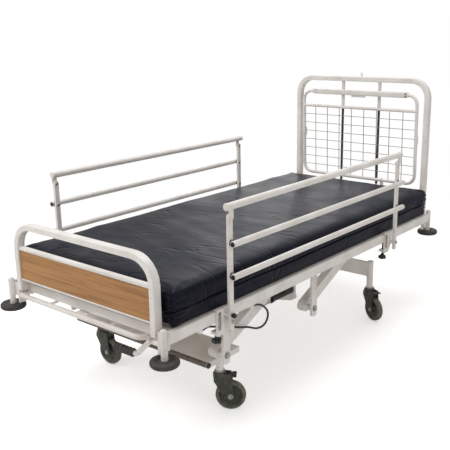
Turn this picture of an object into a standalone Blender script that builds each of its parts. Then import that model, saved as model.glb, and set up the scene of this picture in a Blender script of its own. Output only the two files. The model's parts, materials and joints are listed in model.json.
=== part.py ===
"""Ward bed with a parallelogram lift, folding safety sides, a tilting backrest and braked castors.

Metres, +Z up, floor at z = 0, +Y towards the head end, +X to the right as seen from the foot end.
The bed stands at its lowest height with both safety sides up.
"""
from math import atan2, cos, pi, radians, sin, tan

import bmesh
import bpy
from mathutils import Matrix, Vector

# Gap between touching pieces, and extra play of a pin in its hole
CLEARANCE = 0.0003
PIN_PLAY = 0.0004

# Side rails: rectangular tube on edge
RAIL_OUTER_X = 0.465
RAIL_WIDTH = 0.026
RAIL_HEIGHT = 0.044
RAIL_TOP_Z = 0.491
RAIL_HALF_LENGTH = 1.031
RAIL_EDGE = 0.003

# Lift: two shafts on the base, each with a pair of arms down to posts under the side rails
SHAFT_Z = 0.442
FOOT_SHAFT_Y = -0.392
SHAFT_SPACING = 0.6065
SHAFT_RADIUS = 0.021
ARM_RUN = 0.330
ARM_DROP = 0.148
ARM_DEPTH = 0.048
ARM_WIDTH = 0.037
ARM_POST_GAP = 0.0305
ARM_PIN_RADIUS = 0.008
DROP_POST_WIDTH = 0.010
DROP_POST_DEPTH = 0.040
DROP_POST_BELOW_PIN = 0.036
DROP_POST_CORNER = 0.012
DROP_POST_INSET = 0.003
LIFT_TURN = radians(60.0)

# Hydraulic ram and its slotted crank on the foot shaft
RAM_X = 0.350
CRANK_HEIGHT = 0.075
CRANK_THICKNESS = 0.010
CRANK_HALF_WIDTH = 0.018
CRANK_PIN_RADIUS = 0.006
CRANK_SLOT_PLAY = 0.0024
FORK_CHEEK = 0.008
FORK_HALF_HEIGHT = 0.012
FORK_REACH = 0.030
FORK_BODY = 0.014
RAM_ROD_RADIUS = 0.008
RAM_RADIUS = 0.018
RAM_LENGTH = 0.160
RAM_ROD_INSIDE = 0.130
RAM_WALL_END = 0.020
RAM_BRACKET_DEPTH = 0.030
RAM_BRACKET_RADIUS = 0.012

# Base: foot plate, head beam, two rails between them and four castor sockets
PLATE_TOP_Z = 0.250
PLATE_SHEET = 0.004
PLATE_FLANGE = 0.026
PLATE_HALF_WIDTH = 0.387
PLATE_FRONT_Y = -0.750
PLATE_REAR_Y = -0.553
PLATE_ROLL_RADIUS = 0.011
HEAD_BEAM_FRONT_Y = 0.562
HEAD_BEAM_DEPTH = 0.036
HEAD_BEAM_TOP_Z = 0.302
HEAD_BEAM_HEIGHT = 0.071
BASE_RAIL_X = 0.090
BASE_RAIL_WIDTH = 0.040
BASE_RAIL_HEIGHT = 0.050
BASE_RAIL_FOOT_Y = -0.620
BEARING_THICKNESS = 0.012
BEARING_RADIUS = 0.032

# Castors
CASTOR_X = 0.357
CASTOR_FOOT_Y = -0.645
CASTOR_HEAD_Y = 0.575
CASTOR_TOP_Z = 0.168
SOCKET_RADIUS = 0.0165
SOCKET_HEAD_TOP_Z = 0.314
STEM_RADIUS = 0.010
STEM_LENGTH = 0.040
WHEEL_RADIUS = 0.0625
WHEEL_WIDTH = 0.032
WHEEL_TRAIL = 0.043
AXLE_RADIUS = 0.005
FORK_PLATE = 0.004
FORK_SIDE_GAP = 0.0025
CROWN_RADIUS = 0.029
CROWN_BOTTOM_Z = 0.131
BRAKE_PIVOT_X = 0.038
BRAKE_PIVOT_Z = 0.152
BRAKE_BARREL_RADIUS = 0.0045
BRAKE_TAB_LENGTH = 0.026
BRAKE_TAB_WIDTH = 0.050
BRAKE_TAB_THICKNESS = 0.005
CASTORS = {
    "foot_right": (1, CASTOR_FOOT_Y, 36.0),
    "foot_left": (-1, CASTOR_FOOT_Y, 2.0),
    "head_right": (1, CASTOR_HEAD_Y, -24.0),
    "head_left": (-1, CASTOR_HEAD_Y, -40.0),
}

# Corner posts with turning bumper discs
CORNER_INSET = 0.015
CORNER_POST_RADIUS = 0.013
CORNER_POST_RISE = 0.018
BUMPER_Z = 0.384
BUMPER_RADIUS = 0.0545
BUMPER_HALF_HEIGHT = 0.0105
BUMPER_HUB_HALF_HEIGHT = 0.0085
SPINDLE_RADIUS = 0.006
SPINDLE_CAP_RADIUS = 0.011
SPINDLE_CAP = 0.005

# End cross tubes and their corner brackets
END_TUBE_DEPTH = 0.040
END_TUBE_STEP = 0.004
WEB_THICKNESS = 0.012
WEB_GAP = 0.001
WEB_BOTTOM_Z = 0.400
END_PLATE_THICKNESS = 0.005
END_PLATE_BOTTOM_Z = 0.430

# Foot end: arch of flat-sided tube with a wood panel
FOOT_ARCH_SIDE_GAP = 0.031
FOOT_ARCH_PROUD = 0.011
FOOT_ARCH_DEPTH = 0.036
FOOT_ARCH_WALL = 0.025
FOOT_ARCH_TOP_Z = 0.757
FOOT_ARCH_BOTTOM_Z = 0.460
FOOT_ARCH_BEND = 0.110
FOOT_ARCH_EDGE = 0.006
PANEL_RAIL_BOTTOM_Z = 0.635
PANEL_RAIL_HEIGHT = 0.018
PANEL_TRIM_TOP_Z = 0.514
PANEL_TRIM_HEIGHT = 0.008
PANEL_RECESS = 0.006
PANEL_RAIL_DEPTH = 0.021
PANEL_TRIM_DEPTH = 0.022
PANEL_THICKNESS = 0.018
PANEL_BACK_STEP = 0.002

# Head end: arch of flat-sided tube, cross tube and two uprights that are thinner below the backrest's bar
HEAD_ARCH_SIDE_GAP = 0.014
HEAD_ARCH_SUNK = 0.003
HEAD_ARCH_DEPTH = 0.035
HEAD_ARCH_WALL = 0.028
HEAD_ARCH_EDGE = 0.008
HEAD_ARCH_TOP_Z = 1.222
HEAD_ARCH_BOTTOM_Z = 0.455
HEAD_ARCH_BEND = 0.105
HEAD_CROSS_Z = 0.597
HEAD_CROSS_RADIUS = 0.012
HEAD_UPRIGHT_X = 0.117
HEAD_UPRIGHT_SETBACK = 0.0245
HEAD_UPRIGHT_RADIUS = 0.0095
HEAD_LOWER_ROD_RADIUS = 0.0065
HEAD_ROD_STEP = 0.003
HEAD_STUB_X = 0.005
HEAD_STUB_RISE = 0.021
HEAD_STUB_RADIUS = 0.006

# Backrest: wire mesh in a tube frame, hinged on its bottom tube and leaning forward
BACKREST_SETBACK = 0.002
BACKREST_Z = 0.644
BACKREST_HALF_WIDTH = 0.364
BACKREST_BELOW_ARCH = 0.089
BACKREST_RADIUS = 0.0095
BACKREST_BEND = 0.050
BACKREST_BAR_DROP = 0.086
BACKREST_BAR_RADIUS = 0.008
BACKREST_LEAN = radians(1.7)
BACKREST_LUG_X = 0.160
BACKREST_LUG_RADIUS = 0.0140
BACKREST_LUG_THICKNESS = 0.006
GRIP_LEFT_X = -0.279
GRIP_RIGHT_X = 0.292
GRIP_HEIGHT = 0.029
GRIP_DEPTH = 0.026
GRIP_LIP_HALF_WIDTH = 0.044
GRIP_LIP_DROP = 0.010
MESH_UPRIGHTS = 8
MESH_CROSSWIRES = 7
MESH_UPRIGHT_WIRE = 0.0040
MESH_CROSSWIRE = 0.0034

# Mattress platform and mattress
PLATFORM_SHEET = 0.003
PLATFORM_DEPTH = 0.0135
PLATFORM_RIBS = 4
PLATFORM_RIB_WIDTH = 0.028
PLATFORM_VENT_RADIUS = 0.035
PLATFORM_VENT_X = 0.210
MATTRESS_SIDE_STEP = 0.011
MATTRESS_FOOT_GAP = 0.009
MATTRESS_HEAD_GAP = 0.012
MATTRESS_THICKNESS = 0.139
MATTRESS_CROWN = 0.006
MATTRESS_PULL_IN = 0.007
MATTRESS_EDGE = 0.028

# Safety sides: flat posts on rail clamps, three bars that stay level as the posts fold
SIDE_POST_STANDOFF = 0.035
SIDE_POST_THICKNESS = 0.012
SIDE_POST_HALF_DEPTH = 0.011
SIDE_POST_BOTTOM_Z = 0.410
SIDE_FOOT_Y = -0.740
SIDE_HEAD_Y = 0.549
SIDE_PIVOT_Z = 0.450
SIDE_LOW_Z = 0.630
SIDE_MID_Z = 0.755
SIDE_TOP_Z = 0.890
SIDE_LUG_DROP = 0.039
SIDE_LUG_THICKNESS = 0.004
SIDE_LUG_RADIUS = 0.012
SIDE_TOP_RADIUS = 0.014
SIDE_BAR_RADIUS = 0.012
SIDE_BAR_STANDOFF = 0.024
SIDE_PIN_RADIUS = 0.005
SIDE_BOSS_RADIUS = 0.010
SIDE_TOP_FOOT_OVERHANG = 0.016
SIDE_TOP_HEAD_OVERHANG = 0.022
SIDE_MID_HEAD_OVERHANG = 0.019
SIDE_LOW_HEAD_OVERHANG = 0.026
SIDE_BAR_FOOT_OVERHANG = 0.013

# Rail clamps with their screw knobs, and the pull knobs on the foot posts
CLAMP_PLATE = 0.008
CLAMP_FOOT_REACH = 0.048
CLAMP_HEAD_REACH = 0.018
CLAMP_RISE = 0.0085
CLAMP_BOTTOM_Z = 0.396
CLAMP_TAPER = 0.015
CLAMP_SHELF = 0.010
CLAMP_HOOK_LIP = 0.0105
CLAMP_INSET = 0.0035
CLAMP_BOSS_RADIUS = 0.011
CLAMP_SCREW_OFFSET = 0.028
CLAMP_SCREW_RADIUS = 0.004
KNOB_TOP_Z = 0.388
KNOB_BOTTOM_Z = 0.362
KNOB_RADIUS = 0.020
KNOB_LOBES = 5
PULL_Z = 0.476
PULL_PIN_RADIUS = 0.004
PULL_KNOB_RADIUS = 0.010
PULL_NECK = 0.003
PULL_KNOB_LENGTH = 0.014

# Linen rack that slides out at the foot end
RACK_LEFT_X = -0.393
RACK_RIGHT_X = 0.333
RACK_PROUD = 0.006
RACK_SHAFT_GAP = 0.158
RACK_FRONT_Z = 0.445
RACK_FRONT_RADIUS = 0.011
RACK_ROD_Z = 0.4385
RACK_ROD_RADIUS = 0.006
RACK_BEND = 0.030
RACK_RETURN = 0.036
RACK_ROD_SUNK = 0.010
RACK_ROD_STEP = 0.002
RACK_REAR_RADIUS = 0.007
RACK_REAR_OVERHANG = 0.009
RACK_STRIP_HALF_WIDTH = 0.030
RACK_STRIP_THICKNESS = 0.004
RACK_EYE_RADIUS = 0.011
RACK_EYE_THICKNESS = 0.008

# Pump lever with a ribbed rubber grip
LEVER_SETBACK = 0.042
LEVER_Z = 0.418
LEVER_RADIUS = 0.010
LEVER_ELBOW_X = 0.335
LEVER_GRIP_Z = 0.345
LEVER_GRIP_RIGHT_X = 0.247
LEVER_GRIP_LENGTH = 0.105
LEVER_KNEE = 0.014
LEVER_BEND = 0.030
LEVER_GRIP_RADIUS = 0.0170
LEVER_GRIP_VALLEY = 0.0140
LEVER_GRIP_RIBS = 6
LEVER_GRIP_END = 0.005

# Control cable that hangs under the right rail between two clips
CABLE_RADIUS = 0.0042
CABLE_CLIP_LENGTH = 0.018
CABLE_CLIP_HALF_WIDTH = 0.008
CABLE_CLIP_DROP = 0.017
CABLE_X = 0.450
CABLE_Z = 0.4375
CABLE_HEAD_Y = -0.545
CABLE_FOOT_Y = -0.850
CABLE_LEAD = 0.012
CABLE_ROUTE = [
    (0.450, -0.520, 0.434),
    (0.450, -0.487, 0.412),
    (0.450, -0.455, 0.380),
    (0.449, -0.440, 0.352),
    (0.447, -0.462, 0.333),
    (0.444, -0.505, 0.335),
    (0.440, -0.560, 0.348),
    (0.434, -0.615, 0.366),
    (0.427, -0.668, 0.384),
    (0.4245, -0.722, 0.403),
    (0.430, -0.775, 0.421),
    (0.442, -0.815, 0.434),
]
CABLE_STEPS = 3

# Places that follow from the sizes above
RAIL_INNER_X = RAIL_OUTER_X - RAIL_WIDTH
RAIL_MID_X = RAIL_OUTER_X - RAIL_WIDTH / 2
RAIL_BOTTOM_Z = RAIL_TOP_Z - RAIL_HEIGHT
HEAD_SHAFT_Y = FOOT_SHAFT_Y + SHAFT_SPACING
ARM_PIN_Z = SHAFT_Z - ARM_DROP
FOOT_PIN_Y = FOOT_SHAFT_Y - ARM_RUN
HEAD_PIN_Y = HEAD_SHAFT_Y - ARM_RUN
DROP_POST_OUTER_X = RAIL_OUTER_X - DROP_POST_INSET
DROP_POST_INNER_X = DROP_POST_OUTER_X - DROP_POST_WIDTH
ARM_OUTER_X = DROP_POST_INNER_X - ARM_POST_GAP
ARM_INNER_X = ARM_OUTER_X - ARM_WIDTH
RAM_Z = SHAFT_Z - CRANK_HEIGHT
CRANK_PIN_Y = FOOT_SHAFT_Y + CRANK_HEIGHT * tan(LIFT_TURN / 2)
RAM_MOUTH_Y = CRANK_PIN_Y + FORK_REACH + FORK_BODY + 0.006
RAM_TAIL_Y = RAM_MOUTH_Y + RAM_LENGTH
BASE_RAIL_BOTTOM_Z = PLATE_TOP_Z + CLEARANCE
BASE_RAIL_TOP_Z = BASE_RAIL_BOTTOM_Z + BASE_RAIL_HEIGHT
CORNER_X = RAIL_OUTER_X - CORNER_INSET
CORNER_Y = RAIL_HALF_LENGTH + CORNER_POST_RADIUS
CORNER_POST_TOP_Z = RAIL_TOP_Z + CORNER_POST_RISE
END_TUBE_TOP_Z = RAIL_TOP_Z - END_TUBE_STEP
FOOT_ARCH_HALF_WIDTH = RAIL_INNER_X - FOOT_ARCH_SIDE_GAP
FOOT_ARCH_FRONT_Y = -(RAIL_HALF_LENGTH + FOOT_ARCH_PROUD)
FOOT_ARCH_REAR_Y = FOOT_ARCH_FRONT_Y + FOOT_ARCH_DEPTH
FOOT_TUBE_FRONT_Y = FOOT_ARCH_REAR_Y + CLEARANCE
HEAD_ARCH_HALF_WIDTH = RAIL_INNER_X - HEAD_ARCH_SIDE_GAP
HEAD_ARCH_FRONT_Y = RAIL_HALF_LENGTH - HEAD_ARCH_SUNK
HEAD_ARCH_Y = HEAD_ARCH_FRONT_Y + HEAD_ARCH_DEPTH / 2
HEAD_TUBE_REAR_Y = HEAD_ARCH_FRONT_Y - CLEARANCE
HEAD_LEG_X = HEAD_ARCH_HALF_WIDTH - HEAD_ARCH_WALL / 2
HEAD_UPRIGHT_Y = HEAD_ARCH_FRONT_Y + HEAD_UPRIGHT_SETBACK
HEAD_STUB_TOP_Z = HEAD_ARCH_TOP_Z + HEAD_STUB_RISE
BACKREST_Y = HEAD_ARCH_FRONT_Y + BACKREST_SETBACK
BACKREST_TOP_Z = HEAD_ARCH_TOP_Z - BACKREST_BELOW_ARCH
BACKREST_BAR_Z = BACKREST_TOP_Z - BACKREST_BAR_DROP
PLATFORM_TOP_Z = RAIL_TOP_Z
PLATFORM_BOTTOM_Z = PLATFORM_TOP_Z - PLATFORM_DEPTH
MATTRESS_HALF_WIDTH = RAIL_OUTER_X - MATTRESS_SIDE_STEP
MATTRESS_FOOT_Y = FOOT_ARCH_REAR_Y + MATTRESS_FOOT_GAP
MATTRESS_HEAD_Y = HEAD_ARCH_FRONT_Y - MATTRESS_HEAD_GAP
SIDE_POST_X = RAIL_OUTER_X + SIDE_POST_STANDOFF
SIDE_BAR_X = SIDE_POST_X + SIDE_BAR_STANDOFF
SIDE_TOP_FOOT_Y = SIDE_FOOT_Y - SIDE_TOP_FOOT_OVERHANG
SIDE_TOP_HEAD_Y = SIDE_HEAD_Y + SIDE_TOP_HEAD_OVERHANG
SIDE_MID_HEAD_Y = SIDE_HEAD_Y + SIDE_MID_HEAD_OVERHANG
SIDE_LOW_HEAD_Y = SIDE_HEAD_Y + SIDE_LOW_HEAD_OVERHANG
SIDE_POST_INNER_X = SIDE_POST_X - SIDE_POST_THICKNESS / 2
SIDE_POST_OUTER_X = SIDE_POST_X + SIDE_POST_THICKNESS / 2
SIDE_LUG_PIVOT_Z = SIDE_TOP_Z - SIDE_LUG_DROP
CLAMP_INNER_X = RAIL_OUTER_X + CLEARANCE
CLAMP_OUTER_X = CLAMP_INNER_X + CLAMP_PLATE
CLAMP_TOP_Z = RAIL_TOP_Z + CLAMP_RISE
RACK_FRONT_Y = FOOT_ARCH_FRONT_Y - RACK_PROUD
RACK_REAR_Y = FOOT_SHAFT_Y - RACK_SHAFT_GAP
LEVER_Y = FOOT_ARCH_FRONT_Y + LEVER_SETBACK
LEVER_END_X = FOOT_ARCH_HALF_WIDTH + WEB_GAP + WEB_THICKNESS + 0.003
LEVER_GRIP_LEFT_X = LEVER_GRIP_RIGHT_X - LEVER_GRIP_LENGTH
MATTRESS_BOTTOM_Z = PLATFORM_TOP_Z + CLEARANCE

for leftover in list(bpy.data.objects):
    bpy.data.objects.remove(leftover, do_unlink=True)
BED = bpy.data.collections.new("hospital_bed")
bpy.context.scene.collection.children.link(BED)


def finish(name, colour, roughness, metallic=0.0):
    """Make one Principled material from an sRGB hex colour."""
    material = bpy.data.materials.new(name)
    material.use_nodes = True
    shader = material.node_tree.nodes["Principled BSDF"]
    channels = [int(colour[i:i + 2], 16) / 255 for i in (1, 3, 5)]
    linear = [c / 12.92 if c <= 0.04045 else ((c + 0.055) / 1.055) ** 2.4 for c in channels]
    shader.inputs["Base Color"].default_value = (*linear, 1.0)
    shader.inputs["Roughness"].default_value = roughness
    shader.inputs["Metallic"].default_value = metallic
    return material


ENAMEL = finish("cream_enamel", "#E4E0D8", 0.35)
OAK = finish("oak_laminate", "#B8864F", 0.45)
COVER = finish("coated_nylon", "#33343A", 0.5)
RUBBER = finish("black_rubber", "#1B1B1B", 0.7)
CASTOR_GREY = finish("olive_castor_plastic", "#55574B", 0.5)
TYRE_GREY = finish("grey_tyre", "#5F5E55", 0.7)
BLACK_PLASTIC = finish("black_plastic", "#1D1D1D", 0.45)
RAM_BLACK = finish("black_ram_paint", "#1A1A1C", 0.4)
STEEL = finish("bright_steel", "#B9B9B4", 0.3, 1.0)


def mesh_piece(name, shape, place=(0, 0, 0)):
    """Turn a bmesh into an object of the bed."""
    mesh = bpy.data.meshes.new(name)
    shape.to_mesh(mesh)
    shape.free()
    piece = bpy.data.objects.new(name, mesh)
    piece.location = place
    BED.objects.link(piece)
    return piece


def as_mesh(piece):
    """Freeze a curve or a piece with modifiers into a welded mesh in the same place."""
    name = piece.name
    graph = bpy.context.evaluated_depsgraph_get()
    mesh = bpy.data.meshes.new_from_object(piece.evaluated_get(graph))
    shape = bmesh.new()
    shape.from_mesh(mesh)
    bmesh.ops.remove_doubles(shape, verts=shape.verts, dist=0.000002)
    bmesh.ops.recalc_face_normals(shape, faces=shape.faces)
    shape.to_mesh(mesh)
    shape.free()
    solid = bpy.data.objects.new(name, mesh)
    solid.matrix_world = piece.matrix_basis
    BED.objects.link(solid)
    bpy.data.objects.remove(piece, do_unlink=True)
    solid.name = name
    mesh.name = name
    return solid


def combine(target, others, operation):
    """Union others into target, or cut them out of it."""
    for other in others:
        step = target.modifiers.new(other.name, "BOOLEAN")
        step.operation = operation
        step.solver = "EXACT"
        step.object = other
    whole = as_mesh(target)
    for other in others:
        bpy.data.objects.remove(other, do_unlink=True)
    return whole


def join(target, *others):
    return combine(target, others, "UNION")


def cut(target, *others):
    return combine(target, others, "DIFFERENCE")


def box(name, low, high, edge=0.0):
    """A block between two corners, its edges chamfered by edge."""
    low, high = Vector(low), Vector(high)
    shape = bmesh.new()
    bmesh.ops.create_cube(shape, size=1.0)
    bmesh.ops.scale(shape, vec=high - low, verts=shape.verts)
    if edge:
        bmesh.ops.bevel(shape, geom=shape.edges[:], offset=edge, segments=1, profile=0.5,
                        affect="EDGES", clamp_overlap=True)
    return mesh_piece(name, shape, (low + high) / 2)


def rod(name, start, end, radius, sides=8):
    """A round bar between two points."""
    start, end = Vector(start), Vector(end)
    shape = bmesh.new()
    bmesh.ops.create_cone(shape, cap_ends=True, segments=sides, radius1=radius, radius2=radius,
                          depth=(end - start).length)
    piece = mesh_piece(name, shape, (start + end) / 2)
    piece.rotation_euler = (end - start).to_track_quat("Z", "Y").to_euler()
    return piece


def tube(name, points, radius, closed=False, roundness=3):
    """A bent tube along points."""
    curve = bpy.data.curves.new(name, "CURVE")
    curve.dimensions = "3D"
    curve.bevel_depth = radius
    curve.bevel_resolution = roundness
    curve.use_fill_caps = True
    spline = curve.splines.new("POLY")
    spline.points.add(len(points) - 1)
    for place, point in zip(spline.points, points):
        place.co = (*point, 1.0)
    spline.use_cyclic_u = closed
    piece = bpy.data.objects.new(name, curve)
    BED.objects.link(piece)
    return as_mesh(piece)


def bent(corners, radius, steps=5, closed=False):
    """Round the inner corners of a path with arcs of the given radius."""
    corners = [Vector(corner) for corner in corners]
    count = len(corners)
    path = []
    for index, corner in enumerate(corners):
        if not closed and index in (0, count - 1):
            path.append(corner)
            continue
        before = (corners[index - 1] - corner).normalized()
        after = (corners[(index + 1) % count] - corner).normalized()
        half = before.angle(after) / 2
        centre = corner + (before + after).normalized() * radius / sin(half)
        first = corner + before * radius / tan(half) - centre
        last = corner + after * radius / tan(half) - centre
        sweep = first.angle(last)
        for step in range(steps + 1):
            share = step / steps
            across = first * sin((1 - share) * sweep) + last * sin(share * sweep)
            path.append(centre + across / sin(sweep))
    return path


def smooth(points, steps):
    """A smooth curve through points, with steps places from each to the next."""
    points = [Vector(point) for point in points]
    padded = [2 * points[0] - points[1], *points, 2 * points[-1] - points[-2]]
    path = []
    for a, b, c, d in zip(padded, padded[1:], padded[2:], padded[3:]):
        for step in range(steps):
            t = step / steps
            path.append(0.5 * (2 * b + (c - a) * t + (2 * a - 5 * b + 4 * c - d) * t ** 2
                               + (3 * b - a - 3 * c + d) * t ** 3))
    path.append(points[-1])
    return path


def circle(centre, radius, sides=10):
    return [(centre[0] + radius * cos(2 * pi * i / sides), centre[1] + radius * sin(2 * pi * i / sides))
            for i in range(sides)]


def hole(centre, radius, sides=10):
    """Outline of a hole that a round pin of this radius turns in."""
    return circle(centre, (radius + PIN_PLAY) / cos(pi / sides), sides)


def capsule(start, end, radius, steps=4):
    """Outline of a bar with round ends about two points."""
    heading = atan2(end[1] - start[1], end[0] - start[0])
    outline = []
    for centre, turn in ((end, heading - pi / 2), (start, heading + pi / 2)):
        for step in range(steps + 1):
            angle = turn + pi * step / steps
            outline.append((centre[0] + radius * cos(angle), centre[1] + radius * sin(angle)))
    return outline


TURN_TO_PLANE = {"xy": (0, 0, 0), "xz": (pi / 2, 0, 0), "yz": (pi / 2, 0, pi / 2)}


def plate(name, outlines, plane, middle, thickness):
    """A flat plate: an outline with holes, thickened about the middle of its plane."""
    curve = bpy.data.curves.new(name, "CURVE")
    curve.dimensions = "2D"
    curve.fill_mode = "BOTH"
    curve.extrude = thickness / 2
    for outline in outlines:
        spline = curve.splines.new("POLY")
        spline.points.add(len(outline) - 1)
        for place, (across, along) in zip(spline.points, outline):
            place.co = (across, along, 0.0, 1.0)
        spline.use_cyclic_u = True
    piece = bpy.data.objects.new(name, curve)
    piece.rotation_euler = TURN_TO_PLANE[plane]
    piece.location["yz xz xy".split().index(plane)] = middle
    BED.objects.link(piece)
    return as_mesh(piece)


TURN_TO_AXIS = {"x": (0, pi / 2, 0), "y": (-pi / 2, 0, 0), "z": (0, 0, 0)}


def turned(name, profile, place=(0, 0, 0), axis="z", steps=24, ring=False):
    """A turned piece from (radius, height) points that run down its outer side."""
    shape = bmesh.new()
    verts = [shape.verts.new((radius, 0.0, height)) for radius, height in profile]
    for first, second in zip(verts, verts[1:]):
        shape.edges.new((first, second))
    if ring:
        shape.edges.new((verts[-1], verts[0]))
    piece = mesh_piece(name, shape, place)
    piece.rotation_euler = TURN_TO_AXIS[axis]
    screw = piece.modifiers.new("turn", "SCREW")
    screw.steps = steps
    screw.render_steps = steps
    screw.use_merge_vertices = True
    screw.merge_threshold = 0.00005
    return as_mesh(piece)


def mirrored(piece, name):
    """A copy of a piece on the other side of the bed's middle plane."""
    mesh = piece.data.copy()
    mesh.transform(Matrix.Scale(-1, 4, (1, 0, 0)) @ piece.matrix_basis)
    mesh.flip_normals()
    copy = bpy.data.objects.new(name, mesh)
    BED.objects.link(copy)
    return copy


def painted(piece, material):
    """Give a piece its finish, smooth on round faces and sharp at its edges."""
    piece.data.materials.clear()
    piece.data.materials.append(material)
    piece.data.shade_smooth()
    piece.data.set_sharp_from_angle(angle=radians(35))
    return piece


def side_rail():
    """Right side rail with the two drop posts that the lift arms are pinned to."""
    rail = box("side_rail_right", (RAIL_INNER_X, -RAIL_HALF_LENGTH, RAIL_BOTTOM_Z),
               (RAIL_OUTER_X, RAIL_HALF_LENGTH, RAIL_TOP_Z), RAIL_EDGE)
    additions = []
    post_middle_x = (DROP_POST_INNER_X + DROP_POST_OUTER_X) / 2
    bottom = ARM_PIN_Z - DROP_POST_BELOW_PIN
    for pin_y in (FOOT_PIN_Y, HEAD_PIN_Y):
        foot_edge, head_edge = pin_y - DROP_POST_DEPTH / 2, pin_y + DROP_POST_DEPTH / 2
        corners = []
        for centre_y, turn in ((foot_edge + DROP_POST_CORNER, pi), (head_edge - DROP_POST_CORNER, 1.5 * pi)):
            for step in range(4):
                angle = turn + pi / 2 * step / 3
                corners.append((centre_y + DROP_POST_CORNER * cos(angle),
                                bottom + DROP_POST_CORNER * (1 + sin(angle))))
        top = RAIL_BOTTOM_Z + RAIL_EDGE * 3
        outline = [(foot_edge, top), *corners, (head_edge, top)]
        additions.append(plate("drop_post", [outline], "yz", post_middle_x, DROP_POST_WIDTH))
        additions.append(rod("arm_pin", (ARM_INNER_X - 0.004, pin_y, ARM_PIN_Z),
                             (DROP_POST_OUTER_X + 0.003, pin_y, ARM_PIN_Z), ARM_PIN_RADIUS))
        additions.append(rod("spacer", (ARM_OUTER_X + CLEARANCE, pin_y, ARM_PIN_Z),
                             (post_middle_x, pin_y, ARM_PIN_Z), ARM_PIN_RADIUS * 1.7))
    return join(rail, *additions)


def cable_clips(rail):
    """Two clips under the right rail that the control cable runs into."""
    clips = []
    for face_y, away in ((CABLE_HEAD_Y, -1), (CABLE_FOOT_Y, -1)):
        near, far = sorted((face_y, face_y + away * CABLE_CLIP_LENGTH))
        low = (CABLE_X - CABLE_CLIP_HALF_WIDTH, near, RAIL_BOTTOM_Z - CABLE_CLIP_DROP)
        high = (CABLE_X + CABLE_CLIP_HALF_WIDTH, far, RAIL_BOTTOM_Z + RAIL_EDGE * 2)
        clips.append(box("cable_clip", low, high, 0.002))
    return join(rail, *clips)


def lift_arms(name, shaft_y, crank):
    """A cross shaft with an arm at each end, and on the foot shaft the ram's slotted crank."""
    shaft_end = ARM_OUTER_X - 0.002
    shaft = rod(name, (-shaft_end, shaft_y, SHAFT_Z), (shaft_end, shaft_y, SHAFT_Z), SHAFT_RADIUS, 16)
    pin = (shaft_y - ARM_RUN, ARM_PIN_Z)
    outline = capsule(pin, (shaft_y, SHAFT_Z), ARM_DEPTH / 2)
    additions = [plate("arm", [outline, hole(pin, ARM_PIN_RADIUS)], "yz",
                       side * (ARM_OUTER_X - ARM_WIDTH / 2), ARM_WIDTH) for side in (-1, 1)]
    if crank:
        lean = LIFT_TURN / 2
        heading = Vector((sin(lean), -cos(lean)))
        centre = Vector((shaft_y, SHAFT_Z))
        near = centre + heading * (CRANK_HEIGHT - 0.004)
        far = centre + heading * (CRANK_HEIGHT / cos(lean) + 0.004)
        slot = capsule(near, far, CRANK_PIN_RADIUS + CRANK_SLOT_PLAY)
        additions.append(plate("crank", [capsule(centre, far, CRANK_HALF_WIDTH), slot], "yz",
                               RAM_X, CRANK_THICKNESS))
    return join(shaft, *additions)


def ram_rod():
    """Piston rod with a fork whose cross pin rides in the crank's slot."""
    inner = CRANK_THICKNESS / 2 + 0.0008
    outer = inner + FORK_CHEEK
    body_y = CRANK_PIN_Y + FORK_REACH
    body = box("ram_rod", (RAM_X - outer, body_y, RAM_Z - FORK_HALF_HEIGHT),
               (RAM_X + outer, body_y + FORK_BODY, RAM_Z + FORK_HALF_HEIGHT), 0.0015)
    additions = []
    for side in (-1, 1):
        near, far = sorted((RAM_X + side * inner, RAM_X + side * outer))
        low = (near, CRANK_PIN_Y - FORK_HALF_HEIGHT, RAM_Z - FORK_HALF_HEIGHT + 0.001)
        high = (far, body_y + 0.004, RAM_Z + FORK_HALF_HEIGHT - 0.001)
        additions.append(box("cheek", low, high))
    additions.append(rod("cross_pin", (RAM_X - outer + 0.001, CRANK_PIN_Y, RAM_Z),
                         (RAM_X + outer - 0.001, CRANK_PIN_Y, RAM_Z), CRANK_PIN_RADIUS))
    additions.append(rod("piston", (RAM_X, body_y + FORK_BODY / 2, RAM_Z),
                         (RAM_X, RAM_MOUTH_Y + RAM_ROD_INSIDE, RAM_Z), RAM_ROD_RADIUS))
    return join(body, *additions)


def ram_cylinder():
    """Ram barrel with a bored mouth that the piston rod slides in."""
    bore = (RAM_ROD_RADIUS + PIN_PLAY) / cos(pi / 14)
    collar = RAM_RADIUS + 0.002
    profile = [(0, RAM_LENGTH), (RAM_RADIUS - 0.002, RAM_LENGTH), (RAM_RADIUS, RAM_LENGTH - 0.002),
               (RAM_RADIUS, 0.018), (collar, 0.016), (collar, 0), (bore, 0),
               (bore, RAM_LENGTH - RAM_WALL_END), (0, RAM_LENGTH - RAM_WALL_END)]
    return turned("ram_cylinder", profile, (RAM_X, RAM_MOUTH_Y, RAM_Z), "y", 14)


def socket(name, x, y, top):
    """Vertical socket tube that a castor stem turns in."""
    bottom = CASTOR_TOP_Z + CLEARANCE
    bore = (STEM_RADIUS + PIN_PLAY) / cos(pi / 12)
    deep = bottom + STEM_LENGTH + 0.003
    profile = [(0, top), (SOCKET_RADIUS - 0.002, top), (SOCKET_RADIUS, top - 0.002), (SOCKET_RADIUS, bottom),
               (bore, bottom), (bore, deep), (0, deep)]
    return turned(name, profile, (x, y, 0), "z", 12)


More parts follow.
